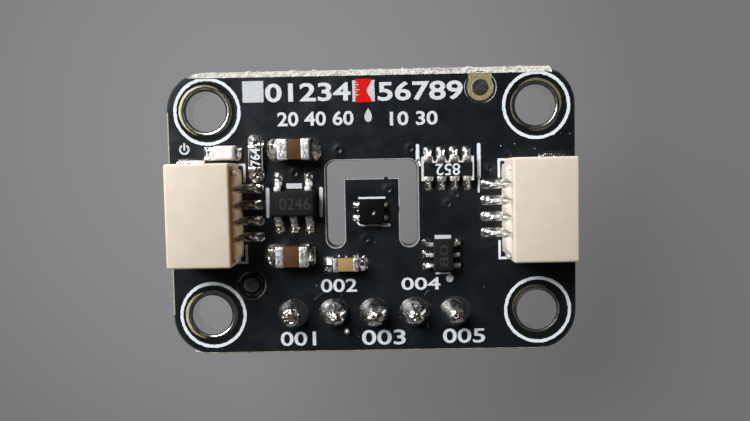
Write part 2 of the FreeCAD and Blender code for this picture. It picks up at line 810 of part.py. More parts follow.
def make_header():
    """Five square pins in a plastic strip, soldered from the component side."""
    pins = []
    joints = []
    for x, y in header_places():
        length = f"{PIN_BELOW} + strip_height + board_thickness + pin_above - 2*pin_taper"
        start = f"-({PIN_BELOW} + strip_height)"
        square = ("pin_width", "pin_width")
        point = ("pin_width/2", "pin_width/2")
        shaft = block("pin_shaft", BOARD, "pin_width", "pin_width", length, x, y,
                      f"{start} + pin_taper")
        lower = frustum("pin_lower_tip", BOARD, point, square, "pin_taper", x, y, start)
        upper = frustum("pin_upper_tip", BOARD, square, point, "pin_taper", x, y,
                        f"{TOP_OF_BOARD} + pin_above - pin_taper")
        pins.append(fuse("header_pin", [shaft, lower, upper]))
        fill = disc("joint_fill", BOARD, "header_bore", "board_thickness", x, y)
        skirt = cone("joint_skirt", BOARD, "header_land", "joint_shoulder_width", "joint_shoulder",
                     x, y, TOP_OF_BOARD)
        crown = cone("joint_crown", BOARD, "joint_shoulder_width", "joint_top_width",
                     "joint_height - joint_shoulder", x, y, f"{TOP_OF_BOARD} + joint_shoulder")
        joints.append(subtract("header_joint", fuse("joint_metal", [fill, skirt, crown]), pins[-1]))
    pin_set = keep("header_pins", group("header_pins", pins))
    keep("header_solder", group("header_solder", joints))
    body = start_body("strip_blank")
    plan = sketch_on(body, "strip_plan", "XY_Plane")
    half = "header_pitch/2"
    front = []
    rear = []
    for x, y in header_places():
        for edge_x, edge_y in ((f"{x} - {half}", "strip_width/2 - strip_chamfer"),
                               (f"{x} - {half} + strip_chamfer", "strip_width/2"),
                               (f"{x} + {half} - strip_chamfer", "strip_width/2")):
            front.append((edge_x, f"{HEADER_Y} - ({edge_y})"))
            rear.append((edge_x, f"{HEADER_Y} + ({edge_y})"))
    last_x = f"{header_places()[-1][0]} + {half}"
    front.append((last_x, f"{HEADER_Y} - (strip_width/2 - strip_chamfer)"))
    rear.append((last_x, f"{HEADER_Y} + (strip_width/2 - strip_chamfer)"))
    draw_outline(plan, front + rear[::-1])
    pad(body, "strip_block", plan, "strip_height")
    bind(body, Placement__Base__z="-strip_height")
    keep("header_strip", subtract("header_strip", body, pin_set))


# Moulded packages

def moulded_blank(name, seat, length, width, height, parting):
    """An epoxy body that tapers up and down from its parting line."""
    waist = (length, width)
    narrow = (f"{length} - 2*package_draft", f"{width} - 2*package_draft")
    lower = frustum(f"{name}_lower", seat, narrow, waist, f"{parting} - package_standoff",
                    z="package_standoff")
    upper = frustum(f"{name}_upper", seat, waist, narrow, f"{height} - ({parting})", z=parting)
    return fuse(name, [lower, upper])


def gull_lead(name, seat, sizes_of, x, side):
    """One gull-wing lead: it leaves the body level, drops beside it and ends in a flat foot."""
    body = start_body(name)
    view = sketch_on(body, f"{name}_side", "YZ_Plane")
    thick = f"{sizes_of}_lead_thickness"
    level = f"({sizes_of}_height/2)"
    wall = f"({sizes_of}_width/2)"
    toe = f"({sizes_of}_span/2)"
    foot = f"({toe} - {sizes_of}_foot)"
    inner = f"({wall} - 2*{thick})"
    draw_outline(view, [(inner, f"{level} - {thick}/2"), (inner, f"{level} + {thick}/2"),
                        (f"{foot}", f"{level} + {thick}/2"), (f"{foot} + {thick}", thick),
                        (toe, thick), (toe, "0"), (foot, "0"),
                        (f"{foot} - {thick}", f"{level} - {thick}/2")])
    pad(body, f"{name}_strip", view, f"{sizes_of}_lead_width", both_ways=True)
    seat.settle(body, x, "0", "0", turn=0 if side > 0 else 180)
    return body


def make_moulded_part(name, seat, sizes_of, leads, dies):
    """A moulded part: leads as (x, side), dies as offsets along the body, each on a paddle."""
    strips = [gull_lead(f"{name}_lead_{step}", seat, sizes_of, x, side)
              for step, (x, side) in enumerate(leads, 1)]
    thick = f"{sizes_of}_lead_thickness"
    level = f"({sizes_of}_height/2)"
    chips = []
    for x in dies:
        strips.append(block(f"{name}_paddle", seat, f"{sizes_of}_die_length + 2*{thick}",
                            f"{sizes_of}_die_width + {thick}", thick, x, "0", f"{level} - {thick}/2"))
        chips.append(block(f"{name}_chip", seat, f"{sizes_of}_die_length", f"{sizes_of}_die_width",
                           "die_height", x, "0", f"{level} + {thick}/2"))
    lead_set = keep(f"{name}_leads", group(f"{name}_leads", strips))
    chip_set = keep(f"{name}_die", group(f"{name}_die", chips))
    blank = moulded_blank(f"{name}_blank", seat, f"{sizes_of}_length", f"{sizes_of}_width",
                          f"{sizes_of}_height", level)
    inserts = group(f"{name}_inserts", [lead_set, chip_set])
    keep(f"{name}_body", subtract(f"{name}_body", blank, inserts))
    joints = []
    for x, side in leads:
        land_middle = f"{side}*({sizes_of}_land_outer - {sizes_of}_land_length/2)"
        add_land(seat, x, land_middle, f"{sizes_of}_land_width", f"{sizes_of}_land_length")
        joints.append(slope(f"{name}_joint", seat, f"{sizes_of}_land_outer - {sizes_of}_span/2",
                            f"{sizes_of}_land_width", thick, x, f"{side}*{sizes_of}_span/2",
                            turn=90 * side))
    keep(f"{name}_solder", group(f"{name}_solder", joints))


def make_regulator():
    """Two leads at the rear, three at the front."""
    seat = Seat(REGULATOR_X, "regulator_y", TOP_OF_BOARD)
    leads = [("-regulator_pitch", 1), ("regulator_pitch", 1)]
    leads += [(f"{step}*regulator_pitch", -1) for step in (-1, 0, 1)]
    make_moulded_part("regulator", seat, "regulator", leads, ["0"])


def make_level_shifter():
    """Three leads on each long side, turned so that they point left and right."""
    seat = Seat(SHIFTER_X, "shifter_y", TOP_OF_BOARD, 90)
    leads = [(f"{step}*shifter_pitch", side) for side in (1, -1) for step in (-1, 0, 1)]
    make_moulded_part("level_shifter", seat, "shifter", leads,
                      [f"{side}*shifter_length/4" for side in (-1, 1)])


def make_sensor():
    """A small square package with a round window over its sensing chip."""
    seat = Seat("sensor_x", "sensor_y", TOP_OF_BOARD)
    pads = []
    joints = []
    pad_x = "(sensor_width/2 - sensor_pad_length/2)"
    for side in (-1, 1):
        for row in (-1, 1):
            y = f"{row}*sensor_pad_y"
            pads.append(block("sensor_pad", seat, "sensor_pad_length", "sensor_pad_width",
                              "sensor_pad_height", f"{side}*{pad_x}", y))
            land_length = "(sensor_land_outer - sensor_width/2 + sensor_pad_length)"
            add_land(seat, f"{side}*(sensor_land_outer - {land_length}/2)", y, land_length,
                     "sensor_land_width")
            joints.append(slope("sensor_joint", seat, "sensor_land_outer - sensor_width/2",
                                "sensor_land_width", "sensor_joint_height",
                                f"{side}*sensor_width/2", y, turn=0 if side > 0 else 180))
    pad_set = keep("sensor_pads", group("sensor_pads", pads))
    keep("sensor_solder", group("sensor_solder", joints))
    die_top = "sensor_height - sensor_window_depth"
    die = keep("sensor_die", block("sensor_die", seat, "sensor_die_width", "sensor_die_width",
                                   "sensor_die_height", "0", "0", f"{die_top} - sensor_die_height"))
    window = disc("sensor_window_space", seat, "sensor_window", "sensor_window_depth + 1", "0", "0",
                  die_top)
    blank = block("sensor_blank", seat, "sensor_width", "sensor_width", "sensor_height")
    inserts = group("sensor_inserts", [pad_set, die, window])
    keep("sensor_body", subtract("sensor_body", blank, inserts))


# Chip parts

def end_caps(name, seat, sizes_of, height, wrap_sides):
    """The two metal ends of a chip and the block inside them."""
    length = f"{sizes_of}_length"
    width = f"{sizes_of}_width"
    band = f"{sizes_of}_band"
    inner_width = f"{width} - 2*chip_plating" if wrap_sides else width
    core = block(f"{name}_core", seat, f"{length} - 2*chip_plating", inner_width,
                 f"{height} - 2*chip_plating", z="chip_plating")
    ends = [block(f"{name}_end", seat, band, width, height, f"{side}*({length} - {band})/2")
            for side in (-1, 1)]
    terminals = subtract(f"{name}_terminals", group(f"{name}_ends", ends), core)
    return core, terminals


def end_joints(name, seat, sizes_of, joint_height):
    """Lands and solder fillets at both ends of a chip."""
    joints = []
    outer = f"{sizes_of}_land_outer"
    half = f"{sizes_of}_length/2"
    width = f"{sizes_of}_land_width"
    land_length = f"({outer} - {half} + {sizes_of}_band)"
    for side in (-1, 1):
        add_land(seat, f"{side}*({outer} - {land_length}/2)", "0", land_length, width)
        joints.append(slope(f"{name}_joint", seat, f"{outer} - {half}", width, joint_height,
                            f"{side}*{half}", "0", turn=0 if side > 0 else 180))
    keep(f"{name}_solder", group(f"{name}_solder", joints))


def make_capacitor(name, x, sizes_of):
    """A ceramic block with a metal cup on each end."""
    seat = Seat(x, f"{name}_y", TOP_OF_BOARD)
    core, terminals = end_caps(name, seat, sizes_of, f"{sizes_of}_height", wrap_sides=True)
    keep(f"{name}_body", core)
    keep(f"{name}_terminals", terminals)
    end_joints(name, seat, sizes_of, "chip_joint_height")


def make_resistor():
    """A ceramic chip with a film and its overcoat between two metal ends."""
    seat = Seat("resistor_from_end - board_length/2", "resistor_y", TOP_OF_BOARD, 90)
    core, terminals = end_caps("resistor", seat, "resistor", "resistor_height", wrap_sides=False)
    keep("resistor_substrate", core)
    keep("resistor_terminals", terminals)
    open_length = "resistor_length - 2*resistor_band"
    film_base = "resistor_height - chip_plating"
    film_width = "resistor_width*resistor_film_share"
    film = keep("resistor_film", block("resistor_film", seat, open_length, film_width,
                                       "film_thickness", z=film_base))
    coat = block("resistor_coat_blank", seat, open_length, "resistor_width*resistor_coat_share",
                 "coat_thickness", z=film_base)
    keep("resistor_overcoat", subtract("resistor_overcoat", coat, film))
    end_joints("resistor", seat, "resistor", "resistor_joint_height")


def make_lamp():
    """A chip lamp: a base with metal ends and a clear tapered lens over the lamp chip."""
    seat = Seat("lamp_from_end - board_length/2", "lamp_y", TOP_OF_BOARD)
    core, terminals = end_caps("lamp", seat, "lamp", "lamp_base", wrap_sides=False)
    keep("lamp_terminals", terminals)
    lens_base = "lamp_base - chip_plating"
    chip = keep("lamp_chip", block("lamp_chip", seat, "lamp_chip", "lamp_chip", "lamp_chip_height",
                                   z=lens_base))
    open_length = "lamp_length - 2*lamp_band"
    neck = block("lamp_neck", seat, open_length, "lamp_width", "2*chip_plating", z=lens_base)
    dome = frustum("lamp_dome", seat, ("lamp_lens_length", "lamp_width"),
                   ("lamp_lens_length - 2*lamp_draft", "lamp_width - 2*lamp_draft"),
                   "lamp_height - lamp_base", z="lamp_base")
    keep("lamp_lens", subtract("lamp_lens", fuse("lamp_lens_blank", [neck, dome]), chip))
    keep("lamp_base_plate", core)
    end_joints("lamp", seat, "lamp", "lamp_joint_height")


def make_resistor_array():
    """Four resistors on one ceramic, with notches between the terminals along both long sides."""
    seat = Seat(ARRAY_X, "array_y", TOP_OF_BOARD)
    middle = (ARRAY_TERMINALS - 1) / 2
    columns = [f"{step - middle}*array_pitch" for step in range(ARRAY_TERMINALS)]
    slab = block("array_slab", seat, "array_length", "array_width - 2*chip_plating",
                 "array_height - 2*chip_plating", z="chip_plating")
    notches = []
    for step in range(ARRAY_TERMINALS - 1):
        for side in (-1, 1):
            notches.append(disc("array_notch_space", seat, "array_notch", "2*array_height",
                                f"{columns[step]} + array_pitch/2", f"{side}*array_width/2"))
    substrate = subtract("array_substrate", slab, group("array_notches", notches))
    keep("resistor_array_substrate", substrate)
    ends = []
    joints = []
    land_length = "(array_land_outer - array_width/2 + array_band)"
    for x in columns:
        for side in (-1, 1):
            ends.append(block("array_end", seat, "array_terminal_width", "array_band", "array_height",
                              x, f"{side}*(array_width - array_band)/2"))
            add_land(seat, x, f"{side}*(array_land_outer - {land_length}/2)", "array_land_width",
                     land_length)
            joints.append(slope("array_joint", seat, "array_land_outer - array_width/2",
                                "array_land_width", "array_joint_height", x,
                                f"{side}*array_width/2", turn=90 * side))
    keep("resistor_array_terminals", subtract("array_terminals", group("array_ends", ends), slab))
    keep("resistor_array_solder", group("array_solder", joints))
    film_base = "array_height - chip_plating"
    open_width = "(array_width - 2*array_band)"
    films = [block("array_film", seat, "array_terminal_width", open_width, "film_thickness", x, "0",
                   film_base) for x in columns]
    film_set = keep("resistor_array_films", group("array_films", films))
    coat = block("array_coat_blank", seat, "array_length - 2*array_notch", open_width,
                 "coat_thickness", z=film_base)
    keep("resistor_array_overcoat", subtract("array_coat", coat, film_set))


def check_and_export():
    """Stop on any failed object, then write each sub-part to its own file."""
    doc.recompute()
    for thing in doc.Objects:
        if "Invalid" in thing.State or "Error" in thing.State:
            raise RuntimeError(f"{thing.Label} failed: {thing.State}")
    os.makedirs("parts", exist_ok=True)
    for label, thing in NODES.items():
        shape = thing.Shape
        if thing.Label != label:
            raise RuntimeError(f"{label} is labelled {thing.Label}")
        if shape.isNull() or not shape.isValid() or not shape.Solids:
            raise RuntimeError(f"{label} has no valid solid")
    for label, thing in NODES.items():
        thing.Shape.exportStep(f"parts/{label}.step")
        box = thing.Shape.BoundBox
        print(f"{label:28s} solids {len(thing.Shape.Solids):3d}  volume {thing.Shape.Volume:9.4f}  "
              f"z {box.ZMin:7.3f} to {box.ZMax:7.3f}")


make_socket("right", 0)
make_socket("left", 180)
make_header()
make_sensor()
make_regulator()
make_level_shifter()
make_resistor_array()
make_resistor()
make_lamp()
make_capacitor("capacitor_1", "capacitor_1_from_end - board_length/2", "capacitor_large")
make_capacitor("capacitor_2", "capacitor_2_from_end - board_length/2", "capacitor_large")
make_capacitor("capacitor_3", "capacitor_2_from_end - board_length/2 + capacitor_3_past_capacitor_2",
               "capacitor_small")
make_core()
make_mask("solder_mask_top", "board_thickness - mask_thickness", True)
make_mask("solder_mask_bottom", "0", False)
make_copper()
make_ink()
check_and_export()
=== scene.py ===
"""Looks of the temperature and humidity sensor breakout board, dressed on its solid frame.

Lengths inside the shape functions are millimetres; they become metres when a mesh is made.
"""
import math
import random

import bmesh
import bpy
from mathutils import Matrix, Vector, noise


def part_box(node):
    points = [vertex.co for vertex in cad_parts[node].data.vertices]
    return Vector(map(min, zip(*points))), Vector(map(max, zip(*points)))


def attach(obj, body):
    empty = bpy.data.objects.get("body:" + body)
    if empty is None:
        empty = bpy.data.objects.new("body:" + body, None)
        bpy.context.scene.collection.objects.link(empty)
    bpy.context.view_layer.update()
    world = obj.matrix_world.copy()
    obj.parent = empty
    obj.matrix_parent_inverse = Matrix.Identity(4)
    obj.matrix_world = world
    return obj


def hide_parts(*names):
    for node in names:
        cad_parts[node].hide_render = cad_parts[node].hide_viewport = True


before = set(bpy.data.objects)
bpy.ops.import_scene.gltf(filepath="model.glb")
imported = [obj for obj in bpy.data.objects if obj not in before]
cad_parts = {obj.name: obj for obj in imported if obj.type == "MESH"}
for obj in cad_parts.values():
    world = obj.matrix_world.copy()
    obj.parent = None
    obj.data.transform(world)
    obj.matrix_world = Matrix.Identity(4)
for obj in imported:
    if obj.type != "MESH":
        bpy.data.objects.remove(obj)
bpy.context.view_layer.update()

MM = 0.001
# The board's upper face, the height of the ink on it and the rear edge of its lacquer
TOP = 1.6
INK = 0.015
LACQUER_REAR = 8.38
HOLE_X, HOLE_Y = 10.16, 6.35
HOLES = [(x, y) for y in (HOLE_Y, -HOLE_Y) for x in (-HOLE_X, HOLE_X)]
PIN_PITCH = 2.54
# The U-shaped slot: the middle line of its arms, their front ends and the start of its bends
SLOT_X, SLOT_FRONT, SLOT_REAR = 2.29, -1.66, 2.62
# The sockets' middle along Y and their rear walls along X
SOCKET_MIDDLE = 0.04
SOCKET_WALL = 8.236
# The two alignment dots and the middle of the level shifter
DOT_FRONT, DOT_REAR = (-7.62, -4.49), (6.79, 7.51)
SHIFTER_X, SHIFTER_Y = 4.3, -2.77
# Steps along printed lines and ragged outlines, and the cells of a solder joint
STROKE_STEP = 0.15
OUTLINE_STEP = 0.08
SOLDER_CELL = 0.03
rng = random.Random(41)


# Surface finishes

class Finish:
    """A procedural surface: one shader and the textures that vary it."""

    def __init__(self, name, colour, roughness, metallic=0.0, **constants):
        self.material = bpy.data.materials.new(name)
        self.material.use_nodes = True
        self.tree = self.material.node_tree
        self.shader = self.tree.nodes["Principled BSDF"]
        self.place = self.tree.nodes.new("ShaderNodeTexCoord").outputs["Object"]
        self.relief = None
        self.tone = None
        constants.update(Base_Color=(*colour, 1.0), Roughness=roughness, Metallic=metallic)
        for socket, value in constants.items():
            self.shader.inputs[socket.replace("_", " ")].default_value = value

    def link(self, output, socket):
        self.tree.links.new(output, socket)

    def node(self, kind, **inputs):
        node = self.tree.nodes.new(kind)
        for socket, value in inputs.items():
            node.inputs[socket.replace("_", " ")].default_value = value
        return node

    def placed(self, kind, **inputs):
        """A texture node that reads the place on the object."""
        texture = self.node(kind, **inputs)
        self.link(self.place, texture.inputs["Vector"])
        return texture

    def noise(self, grain, detail=4.0, stretch=(1, 1, 1), contrast=0.55):
        """Noise whose features are about grain millimetres wide."""
        mapping = self.placed("ShaderNodeMapping", Scale=stretch)
        texture = self.node("ShaderNodeTexNoise", Scale=1 / (grain * MM), Detail=detail,
                            Roughness=contrast)
        self.link(mapping.outputs["Vector"], texture.inputs["Vector"])
        return texture.outputs["Fac"]

    def cells(self, grain):
        """Distance to scattered points about grain millimetres apart."""
        return self.placed("ShaderNodeTexVoronoi", Scale=1 / (grain * MM)).outputs["Distance"]

    def bands(self, pitch):
        """Stripes of one pitch in millimetres along Y."""
        texture = self.placed("ShaderNodeTexWave", Scale=0.314 / (pitch * MM), Distortion=1.2,
                              Detail_Scale=2.0)
        texture.bands_direction = "Y"
        return texture.outputs["Fac"]

    def part(self, vector, axis):
        """One coordinate of a vector."""
        parts = self.node("ShaderNodeSeparateXYZ")
        self.link(vector, parts.inputs["Vector"])
        return parts.outputs[axis]

    def facing_up(self):
        """One on faces that look up, zero on walls."""
        normal = self.node("ShaderNodeNewGeometry").outputs["True Normal"]
        return self.spread(self.part(normal, "Z"), 0.9, 0.99, 0.0, 1.0)

    def maths(self, operation, *values):
        node = self.node("ShaderNodeMath")
        node.operation = operation
        for socket, value in zip(node.inputs, values):
            if isinstance(value, float):
                socket.default_value = value
            else:
                self.link(value, socket)
        return node.outputs["Value"]

    def spread(self, value, start, end, low, high):
        node = self.node("ShaderNodeMapRange", From_Min=start, From_Max=end, To_Min=low, To_Max=high)
        self.link(value, node.inputs["Value"])
        return node.outputs["Result"]

    def ramp(self, value, *stops):
        """Colour by value: stops are (position, colour)."""
        node = self.node("ShaderNodeValToRGB")
        elements = node.color_ramp.elements
        while len(elements) < len(stops):
            elements.new(0.5)
        for element, (position, colour) in zip(elements, stops):
            element.position = position
            element.color = (*colour, 1.0)
        self.link(value, node.inputs["Fac"])
        return node.outputs["Color"]

    def blend(self, factor, first, second):
        node = self.node("ShaderNodeMix")
        node.data_type = "RGBA"
        self.link(factor, node.inputs["Factor"])
        for socket, colour in ((node.inputs[6], first), (node.inputs[7], second)):
            if isinstance(colour, tuple):
                socket.default_value = (*colour, 1.0)
            else:
                self.link(colour, socket)
        return node.outputs[2]

    def colour(self, output):
        self.link(output, self.shader.inputs["Base Color"])
        return self

    def bump(self, height, depth, strength):
        """Relief of a depth in millimetres, stacked on any relief before it."""
        node = self.node("ShaderNodeBump", Strength=strength, Distance=depth * MM)
        self.link(height, node.inputs["Height"])
        if self.relief:
            self.link(self.relief, node.inputs["Normal"])
        self.relief = node.outputs["Normal"]
        self.link(self.relief, self.shader.inputs["Normal"])

    def vary(self, texture, stops, gloss, *reliefs):
        """Let tone, gloss and relief wander over noises: grain, detail and what noise() takes.

        Gloss starts with its two roughnesses, and each relief with its depth and strength.
        """
        self.tone = self.ramp(self.noise(*texture), *stops)
        low, high, *texture = gloss
        gloss = self.spread(self.noise(*texture), 0.3, 0.7, low, high)
        self.link(gloss, self.shader.inputs["Roughness"])
        for depth, strength, *texture in reliefs:
            self.bump(self.noise(*texture), depth, strength)
        return self.colour(self.tone)


EVEN = (1, 1, 1)


def lacquer():
    skin = Finish("black_lacquer", (0.0042, 0.0064, 0.009), 0.34, IOR=1.5).vary(
        (2.6, 5), ((0.3, (0.003, 0.0048, 0.0066)), (0.7, (0.0062, 0.0086, 0.0112))),
        (0.26, 0.42, 1.4, 6), (0.01, 0.35, 0.32, 3), (0.002, 0.3, 0.05, 2))
    dust = skin.spread(skin.cells(0.8), 0.02, 0.036, 1.0, 0.0)
    return skin.colour(skin.blend(dust, skin.tone, (0.16, 0.17, 0.18)))


def printing(name, level=1.0, lined=False):
    stops = [(place, tuple(part * level for part in colour)) for place, colour in (
        (0.3, (0.31, 0.355, 0.4)), (0.46, (0.5, 0.543, 0.58)), (0.75, (0.56, 0.603, 0.64)))]
    skin = Finish(name, (0.5, 0.54, 0.58), 0.6, Specular_IOR_Level=0.3).vary(
        (0.09, 4), stops, (0.5, 0.72, 0.2, 3), (0.006, 0.6, 0.05, 3))
    if lined:
        gaps = skin.spread(skin.bands(0.13), 0.0, 0.5, 0.45, 0.0)
        skin.colour(skin.blend(gaps, skin.tone, (0.42, 0.47, 0.52)))
    return skin


def laminate():
    """Cut glass epoxy, dim where it looks up, with other tones along two pairs of edges."""
    skin = Finish("glass_epoxy", (0.5, 0.46, 0.37), 0.7).vary(
        (0.16, 6, (0.35, 0.35, 2.4), 0.7),
        ((0.25, (0.24, 0.2, 0.14)), (0.5, (0.5, 0.46, 0.37)), (0.75, (0.64, 0.62, 0.54))),
        (0.55, 0.85, 0.2, 4), (0.03, 0.7, 0.06, 5, (0.5, 0.5, 2.5)))
    bare = skin.ramp(skin.noise(0.5, 5), (0.35, (0.016, 0.014, 0.011)), (0.62, (0.042, 0.034, 0.024)))
    edge = skin.tone
    for axis, first, last, low, high, tone in (
            ("Y", 8.0, 8.2, 1.0, 0.0, (0.15, 0.145, 0.135)),
            ("X", 10.8, 11.0, 0.0, 1.0, (0.035, 0.028, 0.02))):
        apart = skin.maths("ABSOLUTE", skin.part(skin.place, axis))
        edge = skin.blend(skin.spread(apart, first * MM, last * MM, low, high), edge, tone)
    return skin.colour(skin.blend(skin.facing_up(), edge, bare))


def metal(name, colour, dark, low, high, grain, depth, mottle=0.45):
    """Bright metal whose tone, gloss and surface wander at one grain size."""
    return Finish(name, colour, (low + high) / 2, 1.0).vary(
        (grain, 6, EVEN, 0.65), ((mottle - 0.12, dark), (mottle + 0.08, colour)),
        (low, high, grain * 1.7, 4), (depth, 0.8, grain * 0.9, 4))


def epoxy(name, tone, gloss=0.15):
    return Finish(name, (tone, tone * 0.95, tone * 0.88), 0.6, Specular_IOR_Level=gloss).vary(
        (0.1, 5, EVEN, 0.7), ((0.32, (tone * 0.4, tone * 0.38, tone * 0.35)),
                               (0.68, (tone * 1.6, tone * 1.52, tone * 1.4))),
        (0.55, 0.8, 0.2, 3), (0.006, 0.8, 0.035, 3))


def ceramic(name, dark, light, rough=0.5, gloss=0.2):
    return Finish(name, light, rough, Specular_IOR_Level=gloss).vary(
        (0.14, 6, (2.2, 0.6, 1), 0.7), ((0.28, dark), (0.68, light)),
        (rough - 0.1, rough + 0.12, 0.25, 3), (0.006, 0.6, 0.05, 4))


def glossy_black(name, tone):
    return Finish(name, (tone, tone, tone * 1.05), 0.3, Coat_Weight=0.3).vary(
        (0.2, 4), ((0.3, (tone * 0.6,) * 3), (0.7, (tone * 1.5,) * 3)),
        (0.22, 0.4, 0.25, 3), (0.004, 0.5, 0.08, 3))


MASK = lacquer()
WHITE = printing("white_ink")
WHITE_LINED = printing("white_ink_lined", lined=True)
# Two brighter copies of the ink, painted light: the figures, and the thin lines, rings and brackets, are
# lightened to make up for falloff and shade
LIT_WHITE_TEXT = printing("white_ink_text_painted_light", 1.16)
LIT_WHITE_LINE = printing("white_ink_line_painted_light", 1.32)
RED = Finish("red_marker", (0.58, 0.004, 0.001), 0.6, Specular_IOR_Level=0.1).vary(
    (0.22, 4), ((0.35, (0.5, 0.003, 0.0)), (0.65, (0.66, 0.006, 0.001))),
    (0.5, 0.75, 0.3, 3), (0.006, 0.5, 0.08, 3))
BOARD = laminate()
CLOTH = Finish("broken_glass_cloth", (0.6, 0.58, 0.5), 0.75).vary(
    (0.24, 5, (0.6, 1, 1), 0.6),
    ((0.24, (0.2, 0.18, 0.14)), (0.36, (0.44, 0.43, 0.385)), (0.66, (0.56, 0.55, 0.515))),
    (0.6, 0.9, 0.15, 3), (0.03, 0.8, 0.05, 4))
NYLON = Finish("cream_nylon", (0.7, 0.625, 0.49), 0.48, IOR=1.5, Specular_IOR_Level=0.25,
               Subsurface_Weight=0.3, Subsurface_Scale=0.6,
               Subsurface_Radius=(1.6 * MM, 0.7 * MM, 0.3 * MM)).vary(
    (1.1, 6, EVEN, 0.6),
    ((0.3, (0.592, 0.53, 0.43)), (0.55, (0.616, 0.557, 0.458)), (0.8, (0.642, 0.588, 0.489))),
    (0.4, 0.58, 0.5, 4), (0.006, 0.5, 0.07, 4), (0.02, 0.3, 0.9, 2))
RESIN = Finish("clear_resin", (0.84, 0.79, 0.78), 0.16, IOR=1.5, Transmission_Weight=0.05).vary(
    (0.28, 4), ((0.3, (0.66, 0.62, 0.58)), (0.5, (0.86, 0.8, 0.79))),
    (0.1, 0.28, 0.2, 3), (0.01, 0.5, 0.15, 3))
SOLDER = metal("solder", (0.94, 0.94, 0.93), (0.54, 0.5, 0.46), 0.16, 0.32, 0.22, 0.014, 0.38)
# Crumpled solder: its relief is real, its darker tone painted shade for joints and terminals away from the
# light
CRINKLED_SHADED = metal("crinkled_shaded_solder", (0.92, 0.89, 0.87), (0.14, 0.125, 0.11), 0.12, 0.28, 0.17, 0.05, 0.46)
DOME = metal("header_solder_skin", (0.74, 0.74, 0.73), (0.27, 0.26, 0.25), 0.18, 0.32, 0.18, 0.018, 0.46)
SPARK = metal("header_solder_tip", (0.95, 0.9, 0.86), (0.3, 0.22, 0.17), 0.08, 0.22, 0.11, 0.05, 0.48)
# Near-black tinning for the flat lands and the sensor's vent ring: painted shade
SHADED_LAND = metal("shaded_land", (0.06, 0.06, 0.06), (0.02, 0.02, 0.02), 0.3, 0.45, 0.12, 0.01)
TIN = metal("tinned_ends", (0.95, 0.94, 0.93), (0.2, 0.19, 0.18), 0.3, 0.5, 0.11, 0.04, 0.45)
RING = metal("tinned_ring", (0.72, 0.71, 0.69), (0.52, 0.5, 0.46), 0.14, 0.24, 0.35, 0.002)
DULL = metal("dull_tinning", (0.15, 0.14, 0.14), (0.04, 0.035, 0.035), 0.35, 0.55, 0.14, 0.012)
LEAD = metal("tinned_lead", (0.92, 0.91, 0.9), (0.48, 0.46, 0.44), 0.36, 0.54, 0.18, 0.012)
CONTACT = metal("tinned_contact", (0.92, 0.91, 0.89), (0.56, 0.53, 0.5), 0.42, 0.58, 0.22, 0.012)
BORE = metal("bore_tinning", (0.86, 0.86, 0.85), (0.74, 0.73, 0.72), 0.04, 0.08, 0.5, 0.001)
LIP = metal("hole_lip", (0.9, 0.89, 0.87), (0.62, 0.6, 0.56), 0.18, 0.3, 0.3, 0.003)
# A darker copy of the contacts' tinning for the left socket: painted shade
CONTACT_SHADED = metal("contact_painted_shade", (0.66, 0.62, 0.57), (0.1, 0.085, 0.07), 0.3, 0.5, 0.16, 0.03,
                    0.5)
GOLD = metal("gold_plate", (0.74, 0.56, 0.27), (0.4, 0.3, 0.14), 0.26, 0.44, 0.3, 0.006)
PIN = metal("plated_pin", (0.82, 0.67, 0.4), (0.62, 0.48, 0.27), 0.2, 0.34, 0.55, 0.003)
EPOXY = epoxy("black_epoxy", 0.0085)
SHIFTER_EPOXY = epoxy("black_epoxy_small", 0.0085)
SENSOR_EPOXY = epoxy("sensor_epoxy", 0.0022, 0.08)
MARKING = ceramic("faint_marking", (0.018, 0.018, 0.017), (0.04, 0.04, 0.038), 0.7)
BROWN = ceramic("brown_ceramic", (0.05, 0.022, 0.008), (0.098, 0.046, 0.018))
TAN = ceramic("tan_ceramic", (0.235, 0.142, 0.05), (0.4, 0.262, 0.108))
ALUMINA = ceramic("white_ceramic", (0.52, 0.47, 0.43), (0.8, 0.76, 0.71))
FILM = ceramic("resistive_film", (0.03, 0.028, 0.026), (0.07, 0.065, 0.06))
COAT = glossy_black("black_overcoat", 0.01)
STRIP = glossy_black("black_strip", 0.014)
SILICON = glossy_black("silicon", 0.035)
LAMP_BASE = ceramic("lamp_laminate", (0.46, 0.55, 0.34), (0.74, 0.78, 0.62))
OLIVE = ceramic("bare_laminate", (0.13, 0.11, 0.055), (0.36, 0.31, 0.15), 0.42)
SHADY = ceramic("dark_laminate", (0.003, 0.004, 0.004), (0.008, 0.008, 0.007), 0.6, 0.06)
CREAM = ceramic("pale_laminate", (0.24, 0.24, 0.15), (0.52, 0.52, 0.36), 0.6)
STRAW = ceramic("lit_laminate", (0.44, 0.42, 0.26), (0.66, 0.64, 0.46), 0.6)
DIM = ceramic("shaded_laminate", (0.03, 0.028, 0.02), (0.075, 0.07, 0.052), 0.5)
# Bare laminate in half shade: painted shade for the window crescents
LAMINATE_HALF_SHADE = ceramic("half_shaded_laminate", (0.08, 0.072, 0.035), (0.19, 0.165, 0.08), 0.5)
# A pale grey for the slot's rim, also used for painted glints round the alignment dots
GREY_RIM_AND_GLINT = ceramic("routed_rim_and_painted_glint", (0.16, 0.16, 0.15), (0.52, 0.53, 0.53), 0.5)
RIB = ceramic("nylon_rib", (0.57, 0.52, 0.43), (0.65, 0.6, 0.51), 0.5)
# Lighter nylon for the ribs that stand in shade: painted light
RIB_PAINTED_LIGHT = ceramic("nylon_rib_painted_light", (0.8, 0.68, 0.5), (0.95, 0.84, 0.66), 0.5)
# Amber nylon: a painted glow
PAINTED_GLOW = ceramic("nylon_painted_glow", (0.23, 0.1, 0.035), (0.35, 0.175, 0.07), 0.5)
# Pale nylon for the pips: painted light
LIT_PIP = ceramic("nylon_pip_painted_light", (0.62, 0.58, 0.5), (0.84, 0.81, 0.74), 0.35)
SEAM = ceramic("nylon_seam", (0.14, 0.11, 0.075), (0.26, 0.21, 0.15), 0.6)


# Building pieces

